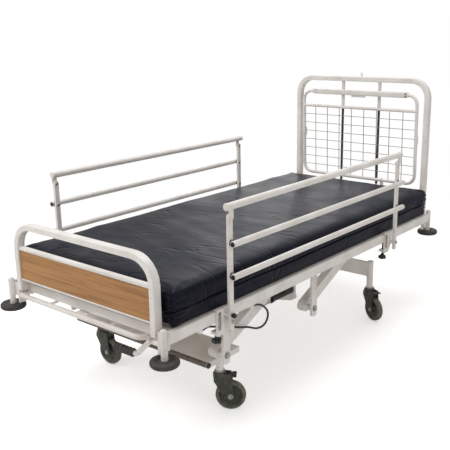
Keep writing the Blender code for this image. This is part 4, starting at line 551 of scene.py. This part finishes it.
def set_camera():
    """The camera of the photograph."""
    right = Vector((cos(CAMERA_AZIMUTH), sin(CAMERA_AZIMUTH), 0))
    reach = cos(CAMERA_ELEVATION)
    back = Vector((sin(CAMERA_AZIMUTH) * reach, -cos(CAMERA_AZIMUTH) * reach, sin(CAMERA_ELEVATION)))
    up = back.cross(right)
    level = right * cos(CAMERA_ROLL) + up * sin(CAMERA_ROLL)
    upright = up * cos(CAMERA_ROLL) - right * sin(CAMERA_ROLL)
    data = bpy.data.cameras.new("photo_camera")
    data.sensor_width = SENSOR_MM
    data.lens = FOCAL_PIXELS * SENSOR_MM / IMAGE_PIXELS
    camera = bpy.data.objects.new("photo_camera", data)
    turn = Matrix((level, upright, back)).transposed().to_4x4()
    camera.matrix_world = Matrix.Translation(CAMERA_PLACE) @ turn
    bpy.context.scene.collection.objects.link(camera)
    bpy.context.scene.camera = camera


def set_sky():
    """White studio sky, brighter to the camera than it lights the bed."""
    world = bpy.data.worlds.new("studio")
    bpy.context.scene.world = world
    world.use_nodes = True
    paths = add_node(world, "ShaderNodeLightPath")
    base = SKY_STRENGTH["diffuse"]
    strength = base
    for ray, kind in (("Is Glossy Ray", "glossy"), ("Is Camera Ray", "camera")):
        sockets = {0: paths.outputs[ray], 1: SKY_STRENGTH[kind] - base, 2: strength}
        strength = add_node(world, "ShaderNodeMath", sockets, operation="MULTIPLY_ADD").outputs["Value"]
    backdrop = world.node_tree.nodes["Background"]
    backdrop.inputs["Color"].default_value = (1, 1, 1, 1)
    world.node_tree.links.new(strength, backdrop.inputs["Strength"])


def floor_finish():
    """Pale floor that takes soft shadows near the bed and melts into the white sky further out."""
    material, shader = new_material("white_sweep", Roughness=0.9)
    shader.inputs["Base Color"].default_value = linear("#F4F3F1")
    place = add_node(material, "ShaderNodeTexCoord").outputs["Object"]
    away = add_node(material, "ShaderNodeVectorMath", {0: place}, operation="LENGTH").outputs["Value"]
    camera_ray = add_node(material, "ShaderNodeLightPath").outputs["Is Camera Ray"]
    sockets = {0: camera_ray, 1: GLOW_UNDER}
    lift = add_node(material, "ShaderNodeMath", sockets, operation="MULTIPLY").outputs["Value"]
    lit = add_node(material, "ShaderNodeEmission", {"Strength": lift}).outputs["Emission"]
    near = add_node(material, "ShaderNodeAddShader", {0: shader.outputs["BSDF"], 1: lit}).outputs["Shader"]
    sockets = {0: between(material, away, GLOW_NEAR, GLOW_FAR), 1: camera_ray}
    melt = add_node(material, "ShaderNodeMath", sockets, operation="MULTIPLY").outputs["Value"]
    white = add_node(material, "ShaderNodeEmission", {"Strength": GLOW_AROUND}).outputs["Emission"]
    whole = add_node(material, "ShaderNodeMixShader", {0: melt, 1: near, 2: white}).outputs["Shader"]
    material.node_tree.links.new(whole, material.node_tree.nodes["Material Output"].inputs["Surface"])
    return material


def set_stage():
    """White studio sweep, an even sky and soft boxes."""
    scene = bpy.context.scene
    scene.view_settings.view_transform = "Standard"
    set_sky()
    shape = bmesh.new()
    bmesh.ops.create_grid(shape, x_segments=1, y_segments=1, size=FLOOR_HALF_SIZE)
    floor = add_object("studio_floor", shape)
    floor.data.materials.append(floor_finish())
    floor.location.z = -FLOOR_DROP
    for name, (place, size, power) in SOFT_BOXES.items():
        lamp = bpy.data.lights.new(name, "AREA")
        lamp.shape = "DISK"
        lamp.size = size
        lamp.energy = power
        light = bpy.data.objects.new(name, lamp)
        light.location = place
        light.visible_camera = False
        aim = LIGHT_AIM - Vector(place)
        light.rotation_euler = aim.to_track_quat("-Z", "Y").to_euler()
        scene.collection.objects.link(light)


def smooth_by_angle():
    """A node group that welds a model piece's triangles and shades its round faces smooth."""
    group = bpy.data.node_groups.new("smooth_round_faces", "GeometryNodeTree")
    group.interface.new_socket("Geometry", in_out="INPUT", socket_type="NodeSocketGeometry")
    group.interface.new_socket("Geometry", in_out="OUTPUT", socket_type="NodeSocketGeometry")
    enter, leave = group.nodes.new("NodeGroupInput"), group.nodes.new("NodeGroupOutput")
    weld = group.nodes.new("GeometryNodeMergeByDistance")
    weld.inputs["Distance"].default_value = MODEL_WELD
    smooth = group.nodes.new("GeometryNodeSetShadeSmooth")
    angle = group.nodes.new("GeometryNodeInputMeshEdgeAngle")
    steep = group.nodes.new("FunctionNodeCompare")
    steep.operation = "GREATER_THAN"
    steep.inputs["B"].default_value = MODEL_SHARP
    sharp = group.nodes.new("GeometryNodeSetShadeSmooth")
    sharp.domain = "EDGE"
    sharp.inputs["Shade Smooth"].default_value = False
    chain = (enter, weld, smooth, sharp, leave)
    for node, following in zip(chain, chain[1:]):
        group.links.new(node.outputs["Geometry"], following.inputs["Geometry"])
    group.links.new(angle.outputs["Unsigned Angle"], steep.inputs["A"])
    group.links.new(steep.outputs["Result"], sharp.inputs["Selection"])
    return group


def dress_model_pieces():
    """Give every model piece its finish, smooth round faces and flat flats."""
    group = smooth_by_angle()
    for part in frame["record"]["subparts"]:
        piece = NODES[part["node"]]
        piece.data.materials.clear()
        piece.data.materials.append(FINISH[part["material_slot"]])
        smooth = piece.modifiers.new("smooth_round_faces", "NODES")
        smooth.node_group = group
        flats = piece.modifiers.new("flat_flats", "WEIGHTED_NORMAL")
        flats.keep_sharp = True


def smooth_route(points, steps):
    """A smooth curve through points, as the model's cable has."""
    points = [Vector(point) for point in points]
    padded = [2 * points[0] - points[1], *points, 2 * points[-1] - points[-2]]
    path = []
    for a, b, c, d in zip(padded, padded[1:], padded[2:], padded[3:]):
        for step in range(steps):
            t = step / steps
            path.append(0.5 * (2 * b + (c - a) * t + (2 * a - 5 * b + 4 * c - d) * t ** 2
                               + (3 * b - a - 3 * c + d) * t ** 3))
    return [*path, points[-1]]


def make_cable():
    """Control cable: a black hose that hangs under the right rail between its two clips."""
    leave = [(CABLE_X, CABLE_HEAD_Y + reach, CABLE_Z) for reach in (CABLE_END_GAP, CABLE_LEAD)]
    enter = [(CABLE_X, CABLE_FOOT_Y + reach, CABLE_Z) for reach in (CABLE_LEAD, CABLE_END_GAP)]
    path = smooth_route([*leave, *CABLE_ROUTE, *enter], CABLE_STEPS)
    curve = bpy.data.curves.new("hose", "CURVE")
    curve.dimensions = "3D"
    curve.bevel_depth = CABLE_RADIUS
    curve.bevel_resolution = 4
    curve.use_fill_caps = True
    spline = curve.splines.new("POLY")
    spline.points.add(len(path) - 1)
    for place, point in zip(spline.points, path):
        place.co = (*point, 1.0)
    curve.materials.append(FINISH["black_plastic"])
    cable = bpy.data.objects.new("hose", curve)
    bpy.context.scene.collection.objects.link(cable)
    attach(cable, "bed")
    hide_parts("control_cable")


def blank_cover():
    """The cover before it fills out: a block with rounded edges, remeshed to small even faces."""
    low, high = (Vector(corner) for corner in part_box("mattress"))
    size = high - low - COVER_SLACK
    shape = bmesh.new()
    bmesh.ops.create_cube(shape, size=1.0)
    bmesh.ops.scale(shape, vec=size, verts=shape.verts)
    for way, width in ((0, COVER_CORNER), (1, COVER_TOP_EDGE), (-1, COVER_BOTTOM_EDGE)):
        edges = []
        for edge in shape.edges:
            first, last = (vert.co.z for vert in edge.verts)
            if way == 0 and abs(first - last) > size.z * COVER_UPRIGHT_SHARE:
                edges.append(edge)
            elif way and min(first * way, last * way) > size.z * COVER_RIM_SHARE:
                edges.append(edge)
        bmesh.ops.bevel(shape, geom=edges, offset=width, segments=3, profile=0.5, affect="EDGES", material=-1)
    bmesh.ops.translate(shape, vec=(low + high) / 2 - Vector((0, 0, COVER_SLACK.z / 2)), verts=shape.verts)
    blank = add_object("cover_blank", shape)
    remesh = blank.modifiers.new("even_faces", "REMESH")
    remesh.mode = "VOXEL"
    remesh.voxel_size = COVER_VOXEL
    return blank


def frozen(piece):
    """The mesh that a piece's modifiers make."""
    graph = bpy.context.evaluated_depsgraph_get()
    return bpy.data.meshes.new_from_object(piece.evaluated_get(graph))


def filled_cover():
    """Let the cover swell under a light inside pressure, as cloth over foam, and cap how far it goes."""
    blank = blank_cover()
    rest = frozen(blank)
    blank.modifiers.clear()
    blank.data = rest
    cloth = blank.modifiers.new("cover_cloth", "CLOTH")
    cloth.settings.use_pressure = True
    cloth.settings.uniform_pressure_force = COVER_PRESSURE
    cloth.settings.effector_weights.gravity = 0.0
    cloth.settings.quality = 4
    cloth.point_cache.frame_end = COVER_SIM_FRAMES
    scene = bpy.context.scene
    for step in range(1, COVER_SIM_FRAMES + 1):
        scene.frame_set(step)
    swollen = frozen(blank)
    scene.frame_set(1)
    for vert, origin in zip(swollen.vertices, rest.vertices):
        move = vert.co - origin.co
        if move.length > COVER_SWELL:
            vert.co = origin.co + move.normalized() * COVER_SWELL
    bpy.data.objects.remove(blank, do_unlink=True)
    return swollen


def share(distance, reach):
    """How much of a reach a distance covers, from none to all."""
    return max(0.0, min(1.0, distance / reach))


def from_edges(place, low, high):
    """How far a place is from the nearer end and from the nearer side of the mattress."""
    return min(place.y - low.y, high.y - place.y), min(place.x - low.x, high.x - place.x)


def in_cells(place, cells):
    """A place counted in the cells of a pattern, so many to the metre each way."""
    return Vector([axis * count for axis, count in zip(place, cells)])


def slanted(place, rows):
    """A place's x and y mixed into the two coordinates of a slanting pattern."""
    return [by_x * place.x + by_y * place.y for by_x, by_y in rows]


def cover_relief(place, low, high):
    """How far the loose cover stands in or out at a place: pleats, the zip's flap and soft creases."""
    height = (place.z - low.z) / (high.z - low.z)
    to_end, to_side = from_edges(place, low, high)
    run = max(to_end, to_side)
    on_side = 0.0
    if min(to_end, to_side) < COVER_SIDE_DEPTH:
        on_side = share(COVER_SIDE_TOP - height, COVER_SIDE_FADE)
    wander = noise.noise(in_cells(place, COVER_WANDER_CELLS))
    near = max(0.0, 1 - run / COVER_PLEAT_REACH)
    turn = 2 * pi * place.z / COVER_PLEAT_PITCH + COVER_PLEAT_WANDER * wander + run * COVER_PLEAT_SLANT
    pleat = near ** COVER_PLEAT_FADE * on_side * sin(turn) * COVER_PLEAT_DEPTH
    above_seam = place.z - low.z - COVER_FLAP_RISE
    flap = 0.0
    if above_seam > COVER_FLAP_STEP / 2:
        flap = COVER_FLAP_DEPTH * on_side
    elif above_seam > (COVER_FOLD_ROWS[0] + COVER_FOLD_ROWS[1]) / 2:
        flap = -COVER_FOLD_DEPTH * on_side
    broad = COVER_BILLOW_DEPTH * noise.fractal(in_cells(place, COVER_BILLOW_CELLS), *COVER_BILLOW_LAYERS)
    layer = place.z * COVER_CREASE_RISE + COVER_CREASE_START
    ridge = 1 - abs(noise.noise(Vector((*slanted(place, COVER_CREASE_CELLS), layer))))
    fold = noise.noise(Vector((*slanted(place, COVER_CROSS_CELLS), COVER_CROSS_START)))
    # Creases and folds are deepest at the foot end
    to_foot = max(0.0, 1 - (place.y - low.y) / COVER_CREASE_REACH)
    by_foot = COVER_CREASE_LEAST + (1 - COVER_CREASE_LEAST) * to_foot
    crease = COVER_CREASE_DEPTH * max(0.0, ridge - COVER_CREASE_RIDGE) / COVER_CREASE_SPAN * by_foot
    across = COVER_CROSS_DEPTH * fold * by_foot * share(height - COVER_TOP_FROM, COVER_TOP_FADE)
    return pleat + flap + broad + crease + across


def make_mattress():
    """Mattress in its loose coated cover, flat underneath where it lies on the deck."""
    low, high = (Vector(corner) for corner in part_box("mattress"))
    shape = bmesh.new()
    shape.from_mesh(filled_cover())
    seam = low.z + COVER_FLAP_RISE
    # Rows of edges let the zip's flap stand off in a crisp line over the fold beneath it
    for rise in (*COVER_FOLD_ROWS, COVER_FLAP_STEP):
        geometry = [*shape.verts, *shape.edges, *shape.faces]
        bmesh.ops.bisect_plane(shape, geom=geometry, plane_co=(0, 0, seam + rise), plane_no=(0, 0, 1))
    pleated = []
    for edge in shape.edges:
        runs = [max(from_edges(vert.co, low, high)) for vert in edge.verts]
        if max(runs) < COVER_PLEAT_REACH:
            pleated.append(edge)
    bmesh.ops.subdivide_edges(shape, edges=pleated, cuts=1, use_grid_fill=True)
    shape.normal_update()
    moves = []
    for vert in shape.verts:
        place = vert.co
        underside = share(place.z - low.z - COVER_FLAT_RISE, COVER_FLAT_FADE)
        move = vert.normal * cover_relief(place, low, high) * underside
        across = share(place.x - COVER_EAR_X[0], COVER_EAR_X[1] - COVER_EAR_X[0])
        to_foot = 1 - share(place.y - low.y, COVER_EAR_REACH)
        move.y -= COVER_EAR * across * to_foot ** COVER_EAR_FADE
        hem = Vector((place.x * COVER_WAVE_CELLS, place.y * COVER_WAVE_CELLS, COVER_WAVE_START))
        by_seam = max(0.0, 1 - abs(place.z - seam) / COVER_WAVE_REACH)
        move.z += COVER_FLAP_WAVE * noise.noise(hem) * by_seam
        moves.append((vert, move))
    clamps = [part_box(f"rail_clamp_{end}_{side}") for end in ENDS for side in SIDES]
    for vert, move in moves:
        vert.co += move
        vert.co.z = max(vert.co.z, low.z)
        beside = max(min(vert.co.y - near[1], far[1] - vert.co.y) for near, far in clamps)
        press = (1 - share(-beside, COVER_CLAMP_FADE)) * share(COVER_CLAMP_TOP - vert.co.z, COVER_CLAMP_RISE)
        over = abs(vert.co.x) - COVER_CLAMP_X
        if press > 0 and over > 0:
            vert.co.x -= over * press * (1 if vert.co.x > 0 else -1)
    cover = add_piece("mattress_cover", shape, FINISH["coated_nylon"], "bed", sharp=46)
    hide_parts("mattress")


def mirrored(section):
    """A half section of a wheel with its other half."""
    return section + [(radius, -height) for radius, height in reversed(section)]


def make_wheels():
    """Castor wheels: a grey rubber tyre round a dished plastic hub with an axle nut on each side."""
    half, bead = TYRE_HALF_WIDTH, TYRE_RADIUS - TYRE_WALL
    tyre = [(bead, half - TYRE_BEAD_STEP), (bead + TYRE_BEAD_STEP, half - TYRE_BEAD_RIM)]
    tyre += [(TYRE_RADIUS - down, half - inward) for down, inward in TYRE_SHOULDER]
    hub = [(AXLE_HOLE, half), (HUB_RADIUS - HUB_EDGE, half), (HUB_RADIUS, half - HUB_EDGE),
           (HUB_RADIUS + HUB_EDGE, half - HUB_DISH), (bead - HUB_RIM_FOOT, half - HUB_DISH),
           (bead - HUB_RIM_TOP, half - TYRE_BEAD_STEP), (bead, half - TYRE_BEAD_STEP)]
    for corner in CORNERS:
        joint = JOINTS["spin_" + corner]
        place = along(joint["pos_m"], joint["axis"])
        shape = bmesh.new()
        add_spin(shape, mirrored(tyre), place, steps=64)
        wheel = add_piece("tyre_" + corner, shape, FINISH["grey_tyre"], "wheel_" + corner,
                          sharp=30)
        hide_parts("castor_wheel_" + corner)
        shape = bmesh.new()
        add_spin(shape, mirrored(hub), place, steps=48)
        add_piece("hub_" + corner, shape, FINISH["olive_castor_plastic"], "wheel_" + corner,
                  sharp=30)
        shape = bmesh.new()
        for side in (-1, 1):
            foot, washer, tip = (place @ Vector((0, 0, side * reach)) for reach in AXLE_NUT_REACHES)
            add_rod(shape, foot, tip, NUT_RADIUS, sides=6, edge=NUT_EDGE)
            add_rod(shape, foot, washer, AXLE_WASHER_RADIUS, sides=24)
        add_piece("axle_nuts_" + corner, shape, ZINC, "castor_" + corner, merge=False)
        shape = bmesh.new()
        stem = Vector(JOINTS["swivel_" + corner]["pos_m"])
        add_spin(shape, COLLAR_SECTION, Matrix.Translation((stem.x, stem.y, COLLAR_Z)), steps=40)
        add_piece("stem_collar_" + corner, shape, ZINC, "castor_" + corner, sharp=30)


def make_bumpers():
    """Rubber bumper discs with a rounded rim, a dished top and a hub."""
    for corner in CORNERS:
        shape = bmesh.new()
        place = Matrix.Translation(JOINTS["bumper_turn_" + corner]["pos_m"])
        add_spin(shape, BUMPER_SECTION, place, steps=56)
        disc = add_piece("bumper_disc_" + corner, shape, FINISH["black_rubber"], "bumper_disc_" + corner,
                         sharp=50)
        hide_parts("bumper_" + corner)


def backrest_place():
    """The placing matrix of the leaning backrest: its hinge is the origin and Z runs up its face."""
    hinge = Vector(JOINTS["backrest_tilt"]["pos_m"])
    return Matrix.Translation(hinge) @ Matrix.Rotation(BACKREST_LEAN, 4, "X")


def make_backrest_wires():
    """Round welded wires of the backrest mesh, on the lines of the model's mesh, their cream enamel painted darker
    as shade.
    """
    lean = backrest_place()
    half = BACKREST_HALF_WIDTH - BACKREST_TUBE - WIRE_GAP
    bottom = BACKREST_TUBE + WIRE_GAP
    top = BACKREST_BAR_RISE - BACKREST_BAR - WIRE_GAP
    shape = bmesh.new()
    for index in range(1, MESH_UPRIGHTS + 1):
        x = 2 * BACKREST_HALF_WIDTH * index / (MESH_UPRIGHTS + 1) - BACKREST_HALF_WIDTH
        add_rod(shape, lean @ Vector((x, 0, bottom)), lean @ Vector((x, 0, top)), WIRE_RADIUS["upright"], 10)
    for index in range(1, MESH_CROSSWIRES + 1):
        z = BACKREST_BAR_RISE * index / (MESH_CROSSWIRES + 1)
        ends = [lean @ Vector((side * half, -WIRE_STEP, z)) for side in (-1, 1)]
        add_rod(shape, *ends, WIRE_RADIUS["cross"], 10)
    wires = add_piece("backrest_wires", shape, SHADED_WIRE_ENAMEL, "backrest", merge=False)
    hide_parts("backrest_mesh")


def make_backrest_fittings():
    """Clips at the ends of the grip, the right one with two screws, and bent hooks on the side tubes."""
    lean = backrest_place()
    clips, screws, hooks = bmesh.new(), bmesh.new(), bmesh.new()
    low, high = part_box("backrest_grip")
    for end, side in ((low[0], -1), (high[0], 1)):
        near, far = sorted(end + side * reach for reach in CLIP_REACHES)
        bottom, top = BACKREST_TOP_RISE - CLIP_HALF_HEIGHT, BACKREST_TOP_RISE + CLIP_HALF_HEIGHT
        add_block(clips, (near, -CLIP_HALF_DEPTH, bottom), (far, CLIP_HALF_DEPTH, top), CLIP_EDGE)
        screw_rises = (-SCREW_RISE, SCREW_RISE) if side > 0 else ()
        for rise in screw_rises:
            x, z = (near + far) / 2, BACKREST_TOP_RISE + rise
            foot, tip = (x, SCREW_FOOT_Y, z), (x, SCREW_TIP_Y, z)
            add_rod(screws, foot, tip, SCREW_RADIUS, sides=20, edge=SCREW_EDGE)
        path = [(side * BACKREST_HALF_WIDTH, y, z) for y, z in HOOK_PATH]
        add_bent_rod(hooks, smooth_route(path, HOOK_STEPS), HOOK_WIRE)
    for name, shape, finish, slot in (("grip_clips", clips, FINISH["cream_enamel"], "cream_enamel"),
                                      ("grip_screws", screws, FINISH["black_plastic"], "black_plastic"),
                                      ("backrest_hooks", hooks, FINISH["cream_enamel"], "cream_enamel")):
        bmesh.ops.transform(shape, matrix=lean, verts=shape.verts)
        add_piece(name, shape, finish, "backrest", merge=False)


def make_lever_grip():
    """Ribbed rubber grip with rounded ribs."""
    low, high = (Vector(corner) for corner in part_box("lever_grip"))
    centre_y, centre_z, length = (low.y + high.y) / 2, (low.z + high.z) / 2, high.x - low.x
    pitch = length / GRIP_RIBS
    profile = [(GRIP_BORE, length), (GRIP_RADIUS, length)]
    for rib in range(GRIP_RIBS):
        for step in range(GRIP_RIB_STEPS + 1):
            over = step / GRIP_RIB_STEPS
            radius = GRIP_RADIUS + GRIP_RIB_HEIGHT * sin(pi * over) ** GRIP_RIB_ROUND
            ribs_past = rib + GRIP_RIB_GAP + (1 - 2 * GRIP_RIB_GAP) * over
            profile.append((radius, length - pitch * ribs_past))
    profile += GRIP_END
    shape = bmesh.new()
    add_spin(shape, profile, along((low.x, centre_y, centre_z), (1, 0, 0)), steps=32)
    grip = add_piece("ribbed_grip", shape, FINISH["black_rubber"], "lever", sharp=60)
    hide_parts("lever_grip")


def make_side_fittings():
    """Safety sides: rivet heads inside the posts, plugs in the bars' ends and black bushes at their pins."""
    for side_name, side in SIDES.items():
        post_places = []
        for end in ENDS:
            low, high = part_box(f"side_post_{end}_{side_name}")
            y, inner = (low[1] + high[1]) / 2, side * POST_INNER_X
            post_places.append(y)
            shape = bmesh.new()
            for pin in ("low", "mid", "lug"):
                foot, tip = ((x, y, PIN_HEIGHTS[pin]) for x in (inner, inner - side * RIVET_HEIGHT))
                add_rod(shape, foot, tip, RIVET_RADIUS, sides=20, edge=RIVET_EDGE)
            add_piece(f"rivets_{end}_{side_name}", shape, ZINC, f"{end}_post_{side_name}",
                      merge=False)
        for bar in ("low", "mid", "top"):
            low, high = (Vector(corner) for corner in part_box(f"side_bar_{bar}_{side_name}"))
            x, z, radius, slot = side * BAR_X, (low.z + high.z) / 2, PLUG_RADIUS, "black_plastic"
            if bar == "top":
                x, z, radius, slot = side * TOP_BAR_X, TOP_BAR_Z, TOP_CAP_RADIUS, "cream_enamel"
            shape = bmesh.new()
            for y, way in ((low.y, -1), (high.y, 1)):
                inside, outside = (x, y - way * CAP_INSIDE, z), (x, y + way * CAP_OUTSIDE, z)
                add_rod(shape, inside, outside, radius, sides=24, edge=CAP_EDGE)
            add_piece(f"bar_caps_{bar}_{side_name}", shape, FINISH[slot], f"{bar}_bar_{side_name}",
                      merge=False)
            if bar == "top":
                continue
            shape = bmesh.new()
            for y in post_places:
                place = along((side * (POST_OUTER_X + BUSH_GAP), y, z), (side, 0, 0))
                add_spin(shape, BUSH_SECTION, place, steps=32)
            add_piece(f"bar_bushes_{bar}_{side_name}", shape, FINISH["black_plastic"],
                      f"{bar}_bar_{side_name}", sharp=30)


def make_clamp_fittings():
    """Rail clamps: a zinc strap with two rivets, and the nut on the post's pivot."""
    for side_name, side in SIDES.items():
        for end in ENDS:
            low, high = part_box(f"side_post_{end}_{side_name}")
            y = (low[1] + high[1]) / 2
            shape = bmesh.new()
            near, far = sorted(side * (CLAMP_FACE_X + reach) for reach in STRAP_REACHES)
            bottom, top = ((x, y + across, z) for x, across, z in zip((near, far), STRAP_Y, STRAP_Z))
            add_block(shape, bottom, top, STRAP_EDGE)
            for z in STRAP_RIVET_Z:
                start, tip = ((side * (CLAMP_FACE_X + reach), y + STRAP_RIVET_Y, z)
                              for reach in STRAP_RIVET_REACHES)
                add_rod(shape, start, tip, STRAP_RIVET_RADIUS, sides=20, edge=STRAP_RIVET_EDGE)
            start, tip = ((side * (POST_OUTER_X + reach), y, PIN_HEIGHTS["pivot"])
                          for reach in PIVOT_NUT_REACHES)
            add_rod(shape, start, tip, NUT_RADIUS, sides=6, edge=NUT_EDGE)
            add_piece(f"clamp_strap_{end}_{side_name}", shape, ZINC, "bed", merge=False)


def make_lift_fittings():
    """Bolt heads with washers on the drop posts, where the lift arms are pinned."""
    for side_name, side in SIDES.items():
        shape = bmesh.new()
        for y in ARM_BOLT_Y:
            face, washer, tip = ((side * x, y, ARM_BOLT_Z) for x in ARM_BOLT_X)
            add_rod(shape, face, washer, ARM_WASHER_RADIUS, sides=32, edge=ARM_WASHER_EDGE)
            add_rod(shape, washer, tip, ARM_BOLT_RADIUS, sides=6, edge=ARM_BOLT_EDGE)
        add_piece(f"arm_bolts_{side_name}", shape, ZINC, "bed", merge=False)


def make_end_fittings():
    """Sleeves on the head uprights' lower rods, end caps on the foot plate's roll, and a darker skin over the roll
    that is painted shade.
    """
    shape = bmesh.new()
    for x in (-SLEEVE_X, SLEEVE_X):
        add_spin(shape, SLEEVE_SECTION, Matrix.Translation((x, SLEEVE_Y, 0)), steps=24)
    add_piece("upright_sleeves", shape, SLEEVE_PLASTIC, "bed", sharp=30)
    low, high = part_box("foot_plate")
    shape = bmesh.new()
    for x, side in ((low[0], -1), (high[0], 1)):
        inner, outer = x - side * ROLL_CAP_INSIDE, x + side * ROLL_CAP_OUTSIDE
        add_rod(shape, (inner, ROLL_Y, ROLL_Z), (outer, ROLL_Y, ROLL_Z), ROLL_CAP_RADIUS, sides=28,
                edge=ROLL_CAP_EDGE)
    add_piece("plate_roll_caps", shape, FINISH["black_plastic"], "base", merge=False)
    # A thin darker skin laid over the roll's front: painted shade of the roll under the bed
    shape = bmesh.new()
    left, right = low[0] + ROLL_SHADE_INSET, high[0] - ROLL_SHADE_INSET
    add_rod(shape, (left, ROLL_SHADE_Y, ROLL_Z), (right, ROLL_SHADE_Y, ROLL_Z), ROLL_SHADE_RADIUS,
            sides=28, edge=ROLL_SHADE_EDGE)
    add_piece("plate_roll_painted_shade", shape, ROLL_SHADE_PAINT, "base", merge=False)


set_camera()
make_cable()
set_stage()
dress_model_pieces()
make_mattress()
make_wheels()
make_bumpers()
make_backrest_wires()
make_backrest_fittings()
make_lever_grip()
make_side_fittings()
make_clamp_fittings()
make_lift_fittings()
make_end_fittings()
